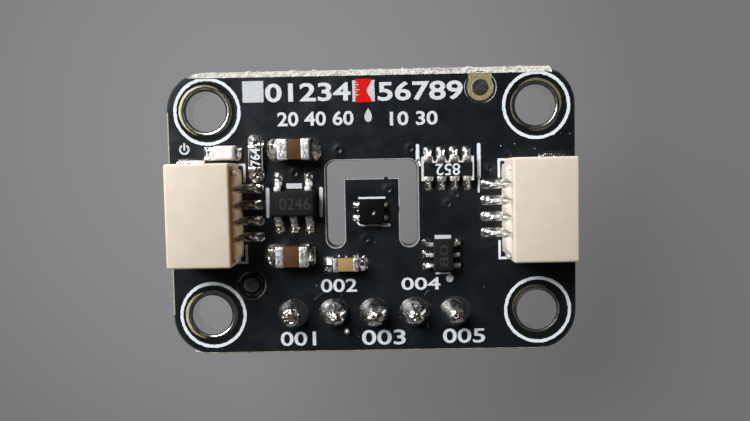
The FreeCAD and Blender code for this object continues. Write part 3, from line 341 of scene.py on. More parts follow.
class Heap:
    """Gathers surfaces, in millimetres, for one piece."""

    def __init__(self, *surfaces):
        self.verts = []
        self.faces = []
        self.skins = []
        for surface in surfaces:
            self.add(surface)

    def add(self, surface, skin=0):
        verts, faces = surface
        start = len(self.verts)
        self.verts += verts
        self.faces += [tuple(start + index for index in face) for face in faces]
        self.skins += [skin] * len(faces)

    def done(self, name, finishes, replaces=(), crease=35):
        mesh = bpy.data.meshes.new(name)
        mesh.from_pydata([Vector(v) * MM for v in self.verts], [], self.faces)
        mesh.polygons.foreach_set("material_index", self.skins)
        return settle(name, mesh, finishes, replaces, crease)


def settle(name, mesh, finishes, replaces=(), crease=35):
    """Make a mesh into a piece of the board: shading, finish and ride."""
    work = bmesh.new()
    work.from_mesh(mesh)
    bmesh.ops.recalc_face_normals(work, faces=work.faces)
    for face in work.faces:
        face.smooth = True
    for edge in work.edges:
        edge.smooth = not (edge.is_manifold and edge.calc_face_angle(0) > math.radians(crease))
    work.to_mesh(mesh)
    work.free()
    for finish in finishes:
        mesh.materials.append(finish.material)
    thing = bpy.data.objects.new(name, mesh)
    bpy.context.scene.collection.objects.link(thing)
    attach(thing, "root")
    for node in replaces:
        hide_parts(node)
    return thing


def finish_node(node, finish):
    """Give a solid of the frame its surface."""
    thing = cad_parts[node]
    thing.data.materials.clear()
    thing.data.materials.append(finish.material)


def softened(node, finish, radius, shortest=0.0, steps=3, clamp=True):
    """The node's own form with its sharp edges rounded."""
    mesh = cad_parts[node].data.copy()
    mesh.name = f"{node}_rounded"
    mesh.materials.clear()
    work = bmesh.new()
    work.from_mesh(mesh)
    bmesh.ops.remove_doubles(work, verts=work.verts, dist=1e-7)
    bmesh.ops.dissolve_limit(work, angle_limit=math.radians(2), verts=work.verts, edges=work.edges)
    sharp = [edge for edge in work.edges
             if edge.is_manifold and edge.calc_face_angle(0) > math.radians(30)
             and edge.calc_length() > shortest * MM]
    bmesh.ops.bevel(work, geom=sharp, offset=radius * MM, segments=steps, profile=0.5,
                    affect="EDGES", clamp_overlap=clamp)
    for face in work.faces:
        face.material_index = 0
    work.to_mesh(mesh)
    work.free()
    return settle(f"{node}_rounded", mesh, [finish], [node])


def islands(node):
    """Boxes and points of a node's separate solids, in millimetres and in order of place."""
    work = bmesh.new()
    work.from_mesh(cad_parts[node].data)
    bmesh.ops.remove_doubles(work, verts=work.verts, dist=1e-7)
    left = set(work.verts)
    boxes = []
    while left:
        reach = [left.pop()]
        found = []
        while reach:
            vert = reach.pop()
            found.append(vert.co / MM)
            for edge in vert.link_edges:
                other = edge.other_vert(vert)
                if other in left:
                    left.remove(other)
                    reach.append(other)
        boxes.append((Vector(map(min, *found)), Vector(map(max, *found)), found))
    work.free()
    return sorted(boxes, key=lambda box: tuple(round(place, 3) for place in box[0]))


def grid(columns, rows, point):
    """A sheet of columns by rows faces over a function of u and v from 0 to 1."""
    verts = [point(i / columns, j / rows) for j in range(rows + 1) for i in range(columns + 1)]
    width = columns + 1
    faces = [(j * width + i, j * width + i + 1, (j + 1) * width + i + 1, (j + 1) * width + i)
             for j in range(rows) for i in range(columns)]
    return verts, faces


def lathe(profile, x, y, base, steps=40, wobble=0.0, seed=0.0, lean=(0.0, 0.0), loop=False):
    """A turned form from (radius, height) pairs, capped at the last one or looped to the first."""
    verts = []
    faces = []
    for radius, height in profile:
        for step in range(steps):
            angle = 2 * math.pi * step / steps
            way = Vector((math.cos(angle), math.sin(angle), 0))
            uneven = 1 + wobble * noise.noise(way * 1.4 + Vector((seed, 0, height * 1.8)))
            verts.append((x + way.x * radius * uneven + lean[0] * height,
                          y + way.y * radius * uneven + lean[1] * height,
                          base + height * (1 + wobble * noise.noise(way * 2 + Vector((0, seed, 3))))))
    count = len(profile)
    for here in range(count if loop else count - 1):
        above = (here + 1) % count
        for step in range(steps):
            after = (step + 1) % steps
            faces.append((here * steps + step, here * steps + after,
                          above * steps + after, above * steps + step))
    if not loop:
        faces.append(tuple(range((count - 1) * steps, count * steps)))
    return verts, faces


def slab(outline, base, height, edge=0.0):
    """A flat plate over a closed outline, its upper rim drawn in by edge."""
    count = len(outline)
    middle = Vector((sum(p[0] for p in outline) / count, sum(p[1] for p in outline) / count))
    verts = [(x, y, base) for x, y in outline]
    verts += [(x + (middle.x - x) * edge, y + (middle.y - y) * edge, base + height)
              for x, y in outline]
    faces = [(i, (i + 1) % count, count + (i + 1) % count, count + i) for i in range(count)]
    faces.append(tuple(range(count, 2 * count)))
    return verts, faces


def stroke(points, width, base=TOP, height=INK, ragged=0.0):
    """A raised line with round ends along a run of points."""
    points = [Vector(point) for point in points]
    cap = [(math.cos(turn) * width / 2, math.sin(turn) * width / 2)
           for turn in (0.25, 0.6, 0.95, 1.3)]
    stations = []
    for number, point in enumerate(points):
        after = (points[number + 1] - point).normalized() if number + 1 < len(points) else None
        before = (point - points[number - 1]).normalized() if number else after
        after = after or before
        along = (before + after).normalized()
        if number == 0:
            stations += [(point - along * back, along, half) for back, half in cap]
        stations.append((point, along, width / 2 / max(0.5, along.dot(after))))
        if number + 1 < len(points):
            length = (points[number + 1] - point).length
            count = int(length / STROKE_STEP)
            stations += [(point + after * length * step / count, after, width / 2)
                         for step in range(1, count)]
        else:
            stations += [(point + along * back, along, half) for back, half in reversed(cap)]
    verts = []
    for centre, along, half in stations:
        side = Vector((-along.y, along.x))
        left = centre + side * half * (1 + ragged * rng.uniform(-1, 1))
        right = centre - side * half * (1 + ragged * rng.uniform(-1, 1))
        verts += [(left.x, left.y, base), (left.x, left.y, base + height),
                  (right.x, right.y, base + height), (right.x, right.y, base)]
    faces = [(0, 1, 2, 3), tuple(range(len(verts) - 1, len(verts) - 5, -1))]
    for start in range(0, len(verts) - 4, 4):
        faces += [(start + i, start + i + 1, start + i + 5, start + i + 4) for i in range(3)]
    return verts, faces


def box_outline(x0, y0, x1, y1, ragged):
    """A rectangle's outline with a slightly uneven edge."""
    outline = []
    for (ax, ay), (bx, by) in (((x0, y0), (x1, y0)), ((x1, y0), (x1, y1)),
                               ((x1, y1), (x0, y1)), ((x0, y1), (x0, y0))):
        count = max(1, int(math.hypot(bx - ax, by - ay) / OUTLINE_STEP))
        for step in range(count):
            share = step / count
            outline.append((ax + (bx - ax) * share + rng.uniform(-ragged, ragged),
                            ay + (by - ay) * share + rng.uniform(-ragged, ragged)))
    return outline


def figures(text, box, base, height=INK, turn=0, weight=0.0):
    """Plain figures fitted to a box (x0, y0, x1, y1), turned by 0, 90, 180 or 270 degrees."""
    curve = bpy.data.curves.new("figures", "FONT")
    curve.body = text
    curve.extrude = 0.5
    curve.offset = weight
    curve.resolution_u = 4
    holder = bpy.data.objects.new("figures", curve)
    bpy.context.scene.collection.objects.link(holder)
    bpy.context.view_layer.update()
    mesh = bpy.data.meshes.new_from_object(holder.evaluated_get(
        bpy.context.evaluated_depsgraph_get()))
    spin = Matrix.Rotation(math.radians(turn), 3, "Z")
    points = [spin @ vert.co for vert in mesh.vertices]
    faces = [tuple(face.vertices) for face in mesh.polygons]
    bpy.data.objects.remove(holder)
    bpy.data.curves.remove(curve)
    bpy.data.meshes.remove(mesh)
    low = Vector(map(min, *points))
    high = Vector(map(max, *points))
    scale_x = (box[2] - box[0]) / (high.x - low.x)
    scale_y = (box[3] - box[1]) / (high.y - low.y)
    verts = [(box[0] + (p.x - low.x) * scale_x, box[1] + (p.y - low.y) * scale_y,
              base + height * (p.z + 0.5)) for p in points]
    return verts, faces


def ring(x, y, radius, width, ragged, limit, steps=96):
    """A printed circle; nothing of it passes the limit along +Y."""
    verts = []
    for step in range(steps):
        angle = 2 * math.pi * step / steps
        for reach in (radius - width / 2 + rng.uniform(-ragged, ragged),
                      radius + width / 2 + rng.uniform(-ragged, ragged)):
            across = x + reach * math.cos(angle)
            along = min(limit, y + reach * math.sin(angle))
            verts += [(across, along, TOP), (across, along, TOP + INK)]
    faces = []
    for step in range(steps):
        here = 4 * step
        after = 4 * ((step + 1) % steps)
        faces += [(here + a, after + a, after + b, here + b) for a, b in ((0, 1), (1, 3), (3, 2))]
    return verts, faces


# Solder

def meniscus(land, foot, wall, under, seed, lip, rough, blobs, power):
    """Solder on a land round a foot: a pillow over the land that climbs the foot's sides."""
    x0, y0, x1, y1 = land
    fx0, fy0, fx1, fy1 = foot
    middle = ((x0 + x1) / 2, (y0 + y1) / 2)
    half = 0.45 * min(x1 - x0, y1 - y0)
    columns = max(8, round((x1 - x0) / SOLDER_CELL))
    rows = max(8, round((y1 - y0) / SOLDER_CELL))

    def point(u, v):
        x = x0 + (x1 - x0) * u
        y = y0 + (y1 - y0) * v
        across = (x1 - x0) / 2 - abs(x - middle[0])
        along = (y1 - y0) / 2 - abs(y - middle[1])
        rim = min(across, along)
        if max(across, along) < half:
            rim = half - math.hypot(half - across, half - along)
        if rim < 0:
            return x, y, TOP - 0.02
        away = math.hypot(max(fx0 - x, 0, x - fx1), max(fy0 - y, 0, y - fy1))
        rounding = math.sqrt(1 - (1 - min(1.0, rim / half)) ** 2)
        if away <= 0:
            height = under
        else:
            share = away / (away + rim + 1e-6)
            where = Vector((x, y, seed))
            height = lip * rounding * (1 + rough * noise.noise(where * 3.2)
                                       + 0.5 * rough * noise.noise(where * 8))
            height += (wall - lip) * (1 - share) ** power * min(1.0, rim / 0.1) ** 0.5
        for bx, by, wide, deep, rise in blobs:
            height += rise * rounding * math.exp(-((x - bx) / wide) ** 2 - ((y - by) / deep) ** 2)
        return x, y, TOP + max(height, 0.0)

    return grid(columns, rows, point)


LANDS = [(low.x, low.y, high.x, high.y) for low, high, points in islands("copper_lands")]


def feet_of(node, reach):
    """Footprints of a node's solids, from what lies within a reach of their lowest point."""
    feet = []
    for low, high, points in islands(node):
        near = [p for p in points if p.z < low.z + reach]
        feet.append((min(p.x for p in near), min(p.y for p in near),
                     max(p.x for p in near), max(p.y for p in near)))
    return feet


def lap(first, second):
    """The area two rectangles share."""
    return (max(0, min(first[2], second[2]) - max(first[0], second[0]))
            * max(0, min(first[3], second[3]) - max(first[1], second[1])))


def solder_for(name, node, feet, wall, under, rough=0.3, blob=0.0, size=(0.2, 0.2), lip=0.16,
               inset=0.24, power=1.6, extra=(), skin=None, trim=None, dark=None):
    """All solder joints of one component, in place of its straight-sided solids.

    A blob stands inset from the land's outer end; size is its reach along and across that way.
    Extra blobs are (x, y, wide, deep, rise) and stand on the land that they lie in. Where dark
    holds for a land's centre the joint has the crumpled skin, whose darker tone is painted shade for
    joints on the side away from the light.
    """
    heap = Heap()
    for number, land in enumerate(LANDS):
        foot = max(feet, key=lambda candidate: lap(land, candidate))
        if lap(land, foot) <= 0:
            continue
        land = trim(*land) if trim else land
        centre_x, centre_y = (land[0] + land[2]) / 2, (land[1] + land[3]) / 2
        away = Vector((centre_x - (foot[0] + foot[2]) / 2, centre_y - (foot[1] + foot[3]) / 2))
        blobs = [swell for swell in extra
                 if land[0] < swell[0] < land[2] and land[1] < swell[1] < land[3]]
        if blob and abs(away.x) > abs(away.y):
            end = land[2] - inset if away.x > 0 else land[0] + inset
            blobs.append((end, centre_y, *size, blob))
        elif blob:
            end = land[3] - inset if away.y > 0 else land[1] + inset
            blobs.append((centre_x, end, *reversed(size), blob))
        heap.add(meniscus(land, foot, wall, under, number * 1.7, lip, rough, blobs, power),
                 int(bool(dark and dark(centre_x, centre_y))))
    finishes = [skin or SOLDER] + ([CRINKLED_SHADED] if dark else [])
    return heap.done(name, finishes, [node], crease=80)


# Bare board

for node, finish in (("board_core", BOARD), ("solder_mask_top", MASK),
                     ("solder_mask_bottom", MASK), ("copper_lands", SHADED_LAND),
                     ("mounting_hole_barrels", BORE), ("header_hole_barrels", RING),
                     ("plated_vias", GOLD), ("fiducials", DULL), ("header_pins", PIN),
                     ("sensor_die", SILICON), ("sensor_pads", LEAD), ("regulator_die", SILICON),
                     ("level_shifter_die", SILICON), ("resistor_array_films", FILM),
                     ("resistor_film", FILM), ("lamp_chip", SILICON)):
    finish_node(node, finish)


def torn_crust(side, y_top, y_out, seed, lump, slant=0.0):
    """The lumpy glass cloth that tore along a scored edge."""

    def point(u, v):
        x = -11.3 + 22.5 * u
        start = y_top - slant * x
        fine = noise.noise(Vector((x * 2.6, v * 1.6, seed + 5)))
        finest = noise.noise(Vector((x * 7, v * 4, seed + 9)))
        reach = y_out + lump * (0.5 * noise.noise(Vector((x * 0.9, 0, seed)))
                                + 1.1 * noise.noise(Vector((x * 2.2, 0, seed + 2))) + 0.6 * finest)
        reach -= 0.5 * max(0.0, -10.75 - x)
        y = start + (reach - start) * v
        crust = lump * (0.62 + 1.0 * fine + 0.7 * finest) * math.sin(math.pi * min(1, v + 0.08)) ** 0.5
        z = 1.575 - (y - start) * 0.85 + crust
        return x, side * y, min(z, TOP + 0.03)

    return grid(720, 10, point)


def sliver(start, stop, width):
    """A loose fibre: a three-sided spike, widest at its start."""
    verts = [start, start + Vector((0, width, 0)), start + Vector((0, width / 2, width)), stop]
    return [tuple(vert) for vert in verts], [(0, 2, 1), (0, 1, 3), (1, 2, 3), (2, 0, 3)]


torn = Heap()
torn.add(torn_crust(1, 8.382, 8.77, 3.0, 0.13, 0.0027))
torn.add(torn_crust(-1, 8.73, 8.8, 9.0, 0.03))
for count, side, low, high in ((90, 1, 8.46, 8.8), (24, -1, 8.74, 8.81)):
    for number in range(count):
        turn = rng.gauss(0, 0.3)
        length = rng.uniform(0.12, 0.6)
        start = Vector((rng.uniform(-10.7, 10.7), side * rng.uniform(low, high),
                        rng.uniform(1.38, 1.56)))
        stop = start + Vector((length * math.cos(turn), 0.4 * length * math.sin(turn), 0.02))
        torn.add(sliver(start, stop, rng.uniform(0.015, 0.04)))
for start, stop in (
        ((4.2, 8.62, 1.5), (5.9, 8.84, 1.62)), ((-10.4, 8.72, 1.5), (-10.0, 8.95, 1.6)),
        ((-11.1, 8.32, 1.58), (-10.85, 8.56, 1.56)), ((11.15, 8.3, 1.58), (10.85, 8.52, 1.56))):
    torn.add(sliver(Vector(start), Vector(stop), 0.04))
torn.done("torn_edge_fibres", [CLOTH], crease=50)


def band(inner, outer, base):
    """A flat strip between two runs of points."""
    count = len(inner)
    verts = [(x, y, base) for x, y in inner] + [(x, y, base) for x, y in outer]
    return verts, [(i, i + 1, count + i + 1, count + i) for i in range(count - 1)]


def arc_points(x, y, radius, start, stop, steps=24):
    """Points of an arc, its ends given in degrees."""
    turns = [math.radians(start + (stop - start) * step / steps) for step in range(steps + 1)]
    return [(x + radius * math.cos(turn), y + radius * math.sin(turn)) for turn in turns]


def slot_edge(grow):
    """The outline of the slot in the lacquer, wider by grow."""
    half = 0.59 + grow
    points = arc_points(-SLOT_X, SLOT_FRONT, half, 360, 180)
    points += arc_points(-SLOT_X, SLOT_REAR, half, 180, 90, 12)
    points += arc_points(SLOT_X, SLOT_REAR, half, 90, 0, 12)
    points += arc_points(SLOT_X, SLOT_FRONT, half, 0, -180)
    return points + [(SLOT_X - half, SLOT_REAR - half), (half - SLOT_X, SLOT_REAR - half),
                     (half - SLOT_X, SLOT_FRONT)]


rims = Heap(band(slot_edge(-0.004), slot_edge(0.05), 1.584))
rims.add(band([(-12.6, -6.3), (-12.6, 6.35)], [(-12.53, -6.3), (-12.53, 6.35)], 1.574), 1)
rims.add(band([(-10.2, -8.735), (10.2, -8.735)], [(-10.2, -8.775), (10.2, -8.775)], 1.5745), 2)
rims.done("routed_rims", [GREY_RIM_AND_GLINT, CREAM, OLIVE])


def crescent(x, y, start, stop, inner, outer, height):
    """A flat sickle whose outer side runs in to its inner one at both ends, in degrees."""
    tips = [min(1.0, min(step, 32 - step) / 9) ** 0.7 for step in range(33)]
    turns = [math.radians(start + (stop - start) * step / 32) for step in range(33)]
    far = [(x + (inner + (outer - inner) * tip) * math.cos(turn),
            y + (inner + (outer - inner) * tip) * math.sin(turn)) for tip, turn in zip(tips, turns)]
    return band(arc_points(x, y, inner, start, stop, 32), far, height)


def washer(x, y, inner, width, base, steps=48):
    """A flat ring."""
    return band(arc_points(x, y, inner, 0, 360, steps), arc_points(x, y, inner + width, 0, 360, steps), base)


# Bare laminate in the windows round the mounting holes: a dark ring with crescents of painted light and
# painted shade, lighter on the side that faces the light
windows = Heap(*(washer(*hole, 1.46, 0.33, 1.579, 64) for hole in HOLES))
for hole, start, stop, inner, outer, skin in (
        (0, 96, 225, 1.55, 1.71, 4), (0, 55, 250, 1.53, 1.69, 1), (0, -75, 70, 1.48, 1.6, 5),
        (1, -20, 135, 1.5, 1.66, 6), (1, 135, 235, 1.455, 1.53, 6), (1, -110, -15, 1.465, 1.6, 5),
        (2, 110, 255, 1.51, 1.69, 1), (2, 140, 215, 1.54, 1.7, 3), (2, -60, 120, 1.465, 1.58, 5),
        (3, 60, 190, 1.465, 1.6, 5)):
    windows.add(crescent(*HOLES[hole], start, stop, inner, outer, 1.584 + 0.002 * skin), skin)
for dot, radius, width, skin in ((DOT_REAR, 0.52, 0.29, 1), (DOT_REAR, 0.83, 0.05, 2),
                                 (DOT_REAR, 0.95, 0.04, 2), (DOT_FRONT, 0.46, 0.4, 0),
                                 (DOT_FRONT, 0.9, 0.05, 5)):
    windows.add(washer(*dot, radius, width, 1.6055 if skin == 5 else 1.6045), skin)
for start, stop in ((5, 70), (84, 150), (158, 215), (228, 262), (275, 345)):
    windows.add(crescent(*DOT_FRONT, start, stop, 0.63, 0.69, 1.6062), 5)
# Painted glints along the edges of the lacquer round both alignment dots
for dot, start, stop, inner, outer, skin in (
        (DOT_FRONT, 115, 238, 0.44, 0.49, 7), (DOT_FRONT, 88, 170, 0.79, 0.84, 7),
        (DOT_FRONT, -68, 20, 0.83, 0.88, 7), (DOT_REAR, -80, 58, 0.96, 1.02, 7),
        (DOT_REAR, 145, 222, 0.94, 0.98, 7), (DOT_REAR, 95, 205, 0.49, 0.545, 3),
        (DOT_REAR, -42, 25, 0.775, 0.815, 3)):
    windows.add(crescent(*dot, start, stop, inner, outer, 1.607), skin)
tab = [(6.06, 8.37), (6.1, 7.94), (6.79, 7.99), (7.48, 7.94), (7.52, 8.37)]
windows.add(band(tab, [(x, LACQUER_REAR) for x in (6.06, 6.4, 6.79, 7.2, 7.52)], 1.6055), 1)
windows.done("bare_laminate", [SHADY, OLIVE, DULL, CREAM, STRAW, DIM, LAMINATE_HALF_SHADE, GREY_RIM_AND_GLINT])

# The tinning stands up as a small rounded lip at the mouth of each mounting hole; one sits off centre
lips = Heap()
LIP_SHAPE = [(1.243, -0.1), (1.265, -0.055), (1.295, -0.02), (1.33, 0.002), (1.37, 0.017),
             (1.41, 0.023), (1.445, 0.023), (1.45, -0.022)]
for x, y in (HOLES[0], (HOLE_X - 0.02, HOLE_Y), HOLES[2], HOLES[3]):
    lips.add(lathe(LIP_SHAPE, x, y, TOP, 96, wobble=0.006, seed=x + y, loop=True))
lips.done("hole_lips", [LIP], crease=70)

# Copper tracks raise the lacquer in low ridges
TRACKS = (
    [(-3.15, 2.9), (-3.15, 4.72), (2.6, 4.72), (2.95, 4.38), (2.95, 4.1)],
    [(3.25, 1.05), (3.25, -1.35)], [(3.95, 1.1), (3.95, -1.25)],
    [(4.72, 0.2), (4.72, -0.2), (5.02, -0.5), (5.02, -1.2)],
    [(5.85, 1.0), (5.85, -2.3), (5.2, -2.95)], [(6.35, 1.6), (6.35, -3.2), (5.1, -4.5), (5.1, -5.2)],
    [(3.0, -3.4), (2.6, -3.8), (2.54, -5.2)], [(0.9, 1.5), (0.9, 2.0)],
    [(-0.4, -1.9), (-0.4, -2.3), (-0.9, -2.75)], [(1.15, -0.5), (1.5, -0.9), (1.5, -2.1), (2.6, -3.1)],
    [(1.2, 0.5), (1.55, 0.2), (1.55, 0.0)], [(-3.0, -3.3), (-3.2, -3.3)],
    [(-6.3, 2.5), (-6.3, 4.6), (-5.4, 5.5)], [(-5.08, -5.2), (-5.9, -4.3), (-6.7, -3.4), (-6.7, -1.9)],
    [(-2.54, -5.3), (-2.54, -4.1)], [(0.0, -5.3), (0.0, -4.2), (-0.4, -3.8)],
    [(6.3, 4.5), (7.2, 5.3), (7.2, 6.3)], [(8.5, 3.6), (8.5, 4.6), (7.6, 5.5)],
    [(7.3, 2.2), (7.3, 1.9)], [(-1.9, 4.1), (-1.4, 4.5)], [(7.6, -3.3), (7.0, -4.0), (5.7, -5.3)],
)
tracks = Heap(*(stroke(points, 0.26, TOP - 0.004, 0.014) for points in TRACKS))
for low, high, points in islands("plated_vias"):
    x, y = (low.x + high.x) / 2, (low.y + high.y) / 2
    tracks.add(lathe([(0.52, 0.0), (0.4, 0.008), (0.3, 0.022), (0.24, 0.035), (0.2, 0.042),
                      (0.17, 0.036), (0.125, 0.016), (0.09, 0.003), (0.03, 0.003)],
                     x, y, TOP - 0.002, 28, wobble=0.08, seed=x))
tracks.done("raised_tracks", [MASK])

# Printed ink

ink = Heap()
for x in (-HOLE_X, HOLE_X):
    for y in (-HOLE_Y, HOLE_Y):
        ink.add(ring(x + 0.06, y, 1.99, 0.195, 0.018, LACQUER_REAR - 0.02), 2)
for text, box in (("01234", (-6.46, 6.85, -1.19, 7.99)), ("56789", (0.49, 6.78, 5.73, 7.97)),
                  ("20 40 60", (-5.75, 5.35, -1.03, 6.24)), ("10 30", (1.21, 5.27, 4.16, 6.13)),
                  ("001", (-5.91, -8.4, -3.68, -7.5)), ("002", (-3.3, -5.04, -1.03, -4.2)),
                  ("003", (-0.8, -8.42, 1.95, -7.47)), ("004", (1.74, -4.98, 4.18, -4.2)),
                  ("005", (4.29, -8.38, 6.93, -7.47))):
    ink.add(figures(text, box, TOP, weight=0.014 if text.startswith("00") else 0.022), 3)
drop = [(0.3 * math.sin(a) * math.sin(a / 2) - 0.12, 5.95 + 0.42 * math.cos(a))
        for a in [2 * math.pi * step / 32 for step in range(32)]]
ink.add(slab(drop, TOP, INK))
ink.add(stroke(arc_points(-11.58, 4.05, 0.27, 130, 410, 14), 0.12))
ink.add(stroke([(-11.58, 4.02), (-11.58, 4.4)], 0.12))
for sign in (-1, 1):
    for y, leg in ((3.04, -1.05), (-3.07, 1.05)):
        corner = sign * 7.89
        ink.add(stroke([(sign * 8.55, y), (corner, y), (corner, y + leg)], 0.15, ragged=0.08), 2)
for width, x0, y0, x1, y1 in (
        (0.12, -0.79, 0.83, 0.79, 0.83), (0.1, -0.92, -0.7, -0.74, -0.88),
        (0.08, -0.74, -0.88, 0.66, -0.88), (0.2, 0.62, -0.87, 1.03, -0.87),
        (0.22, -6.47, 1.48, -6.5, -0.2), (0.22, -3.15, 1.46, -3.17, -0.2),
        (0.22, 2.88, 4.0, 2.88, 3.15), (0.13, 2.9, 3.12, 3.02, 2.8),
        (0.22, 6.66, 3.98, 6.66, 2.0), (0.12, 6.66, 2.0, 6.63, 1.08), (0.12, 3.94, -3.96, 4.8, -3.96)):
    ink.add(stroke([(x0, y0), (x1, y1)], width, ragged=0.06), 2)
for box in ((-5.3, 1.5, -4.33, 1.82), (3.86, -1.8, 4.87, -1.57)):
    ink.add(slab(box_outline(*box, 0.012), TOP, INK))
ink.add(slab(arc_points(4.77, -4.3, 0.235, 0, 345, 23), TOP, INK))
for box in ((-7.86, 6.86, -6.56, 8.17), (-1.07, 6.79, 0.3, 8.09)):
    ink.add(slab(box_outline(*box, 0.012), TOP, INK), 1)
ink.done("printed_ink", [WHITE, WHITE_LINED, LIT_WHITE_LINE, LIT_WHITE_TEXT], ["silkscreen"])

# Red ink over the middle square, notched at its right and streaked at its left
shares = [step / 24 for step in range(25)]
rim = [(-0.9 + 0.05 * noise.noise(Vector((share * 9, 1, 0))), 8.16 - 1.42 * share) for share in shares]
for share in shares:
    notch = 0.3 * math.exp(-((share - 0.5) / 0.26) ** 2)
    rim.append((0.11 - notch + 0.03 * noise.noise(Vector((share * 6, 4, 0))), 6.74 + 1.42 * share))
smear = Heap(slab(rim, TOP + INK, 0.006))
for row, reach in enumerate((0.1, 0.26, 0.16, 0.3, 0.12, 0.24, 0.14)):
    y = 7.02 + row * 0.155
    smear.add(slab(box_outline(-1.04, y, -0.92 + reach, y + 0.045, 0.004), TOP + INK, 0.008), 1)
smear.done("red_marker", [RED, WHITE])


# Cable sockets

# The left socket's contacts and joints, and the right socket's anchor tabs, take darker finishes: painted
# shade on the side away from the light
for side, contact, tab, solder in (("left", CONTACT_SHADED, CONTACT, CRINKLED_SHADED),
                                   ("right", CONTACT, CRINKLED_SHADED, SOLDER)):
    name = f"socket_{side}"
    softened(f"{name}_housing", NYLON, 0.15, shortest=2.0, steps=4, clamp=False)
    softened(f"{name}_contacts", contact, 0.08, steps=4)
    softened(f"{name}_anchor_tabs", tab, 0.03)
    solder_for(f"{name}_joints", f"{name}_solder",
               feet_of(f"{name}_contacts", 0.25) + feet_of(f"{name}_anchor_tabs", 0.25),
               0.2, 0.1, 0.45, blob=0.22, size=(0.24, 0.17), lip=0.07, inset=0.8, skin=solder,
               dark=lambda x, y: x > 10)


def upright(x, y, width, low, high):
    """A thin plate standing on a wall at x."""
    verts = [(x + a, y + b * width / 2, z) for z in (low, high)
             for a, b in ((-0.006, -1), (0.006, -1), (0.006, 1), (-0.006, 1))]
    return verts, [(0, 1, 5, 4), (1, 2, 6, 5), (2, 3, 7, 6), (3, 0, 4, 7), (4, 5, 6, 7), (0, 3, 2, 1)]


def lobe(sign, middle, half):
    """A rounded nylon rib that stands on the rear wall between two contacts."""
    outline = ((0.0, 3.84), (0.12, 3.84), (0.24, 3.74), (0.3, 3.5), (0.3, 3.2), (0.26, 2.6),
               (0.2, 1.9), (0.19, 1.61))

    def point(u, v):
        depth, height = outline[round(v * 7)]
        across = 2 * u - 1
        depth *= (1 - abs(across) ** 3.0) ** 0.7
        return sign * (8.242 - depth), middle + half * across, height

    return grid(18, 7, point)


# The left socket's ribs stand in the housing's shade and take a lighter nylon: painted light for light that
# comes through it
bumps = Heap()
for sign in (-1, 1):
    for middle, half in ((-2.09, 0.5), (-0.96, 0.38), (0.04, 0.38), (1.04, 0.38), (2.17, 0.5)):
        bumps.add(lobe(sign, middle, half), int(sign < 0))
bumps.done("socket_lobes", [RIB, RIB_PAINTED_LIGHT], crease=60)
# Small pips on the ledges, in a nylon lighter than the housing's: painted light
pips = Heap()
for x, y, size, base in ((-8.07, 2.53, 0.17, 3.98), (-8.13, -2.66, 0.09, 3.82),
                         (8.13, 2.445, 0.08, 3.82), (8.1, -2.711, 0.08, 3.82)):
    pips.add(lathe([(size, -0.4), (size, 0.0), (size * 0.85, 0.5 * size), (size * 0.5, 0.8 * size),
                    (size * 0.1, 0.9 * size)], x, y, base, steps=20))
pips.done("socket_ledge_pips", [LIT_PIP])

# The slots that the contacts were pushed in through show as thin outlines on the rear walls, and a
# thin amber plate on the left wall is a painted glow of light coming through the nylon
outlines = Heap()
for sign in (-1, 1):
    for row in range(4):
        middle = SOCKET_MIDDLE + row - 1.5
        for across, width, low, high in ((-0.13, 0.035, 1.73, 2.62), (0.13, 0.035, 1.73, 2.62),
                                         (0, 0.295, 2.6, 2.64)):
            outlines.add(upright(sign * SOCKET_WALL, middle + across, width, TOP + low, TOP + high))
outlines.add(upright(0.005 - SOCKET_WALL, SOCKET_MIDDLE, 5.75, 3.3, 4.49), 1)
outlines.done("socket_slot_outlines", [SEAM, PAINTED_GLOW])


# Header

softened("header_strip", STRIP, 0.08, steps=2)
# Each joint has a shift, a girth, a wobble, a lean and the profile of its crown above the skirt
SKIRT = [(0.9, 0.0), (0.91, 0.05), (0.87, 0.09), (0.85, 0.16)]
CUPPED = [(0.82, 0.36), (0.76, 0.6), (0.67, 0.82), (0.56, 0.98), (0.46, 1.05), (0.38, 1.03), (0.3, 0.93),
          (0.2, 0.84)]
POINTED = [(0.82, 0.3), (0.72, 0.52), (0.6, 0.74), (0.47, 0.94), (0.36, 1.09), (0.26, 1.18), (0.18, 1.22),
           (0.08, 1.24)]
ROUND = [(0.82, 0.3), (0.74, 0.5), (0.63, 0.7), (0.5, 0.9), (0.38, 1.06), (0.28, 1.16), (0.18, 1.21),
         (0.08, 1.23)]
HOLLOW = [(0.82, 0.3), (0.71, 0.54), (0.58, 0.78), (0.45, 0.98), (0.34, 1.12), (0.25, 1.19), (0.17, 1.22),
          (0.08, 1.24)]
JOINTS = ((-0.13, 0.87, 0.08, (0.05, -0.04), CUPPED), (0.0, 1.0, 0.05, (0.06, -0.05), POINTED),
          (-0.02, 1.0, 0.06, (0.04, -0.02), ROUND), (-0.05, 1.0, 0.04, (0.03, -0.05), HOLLOW),
          (-0.16, 0.88, 0.04, (0.06, -0.06), HOLLOW))
domes = Heap()
for number, (shift, girth, wobble, lean, crown) in enumerate(JOINTS):
    profile = [(radius * girth, height) for radius, height in SKIRT + crown]
    domes.add(lathe(profile, (number - 2) * PIN_PITCH + shift, -HOLE_Y, TOP, 64, wobble, number * 3.7, lean))
domes.done("header_joints", [DOME], ["header_solder"], crease=70)

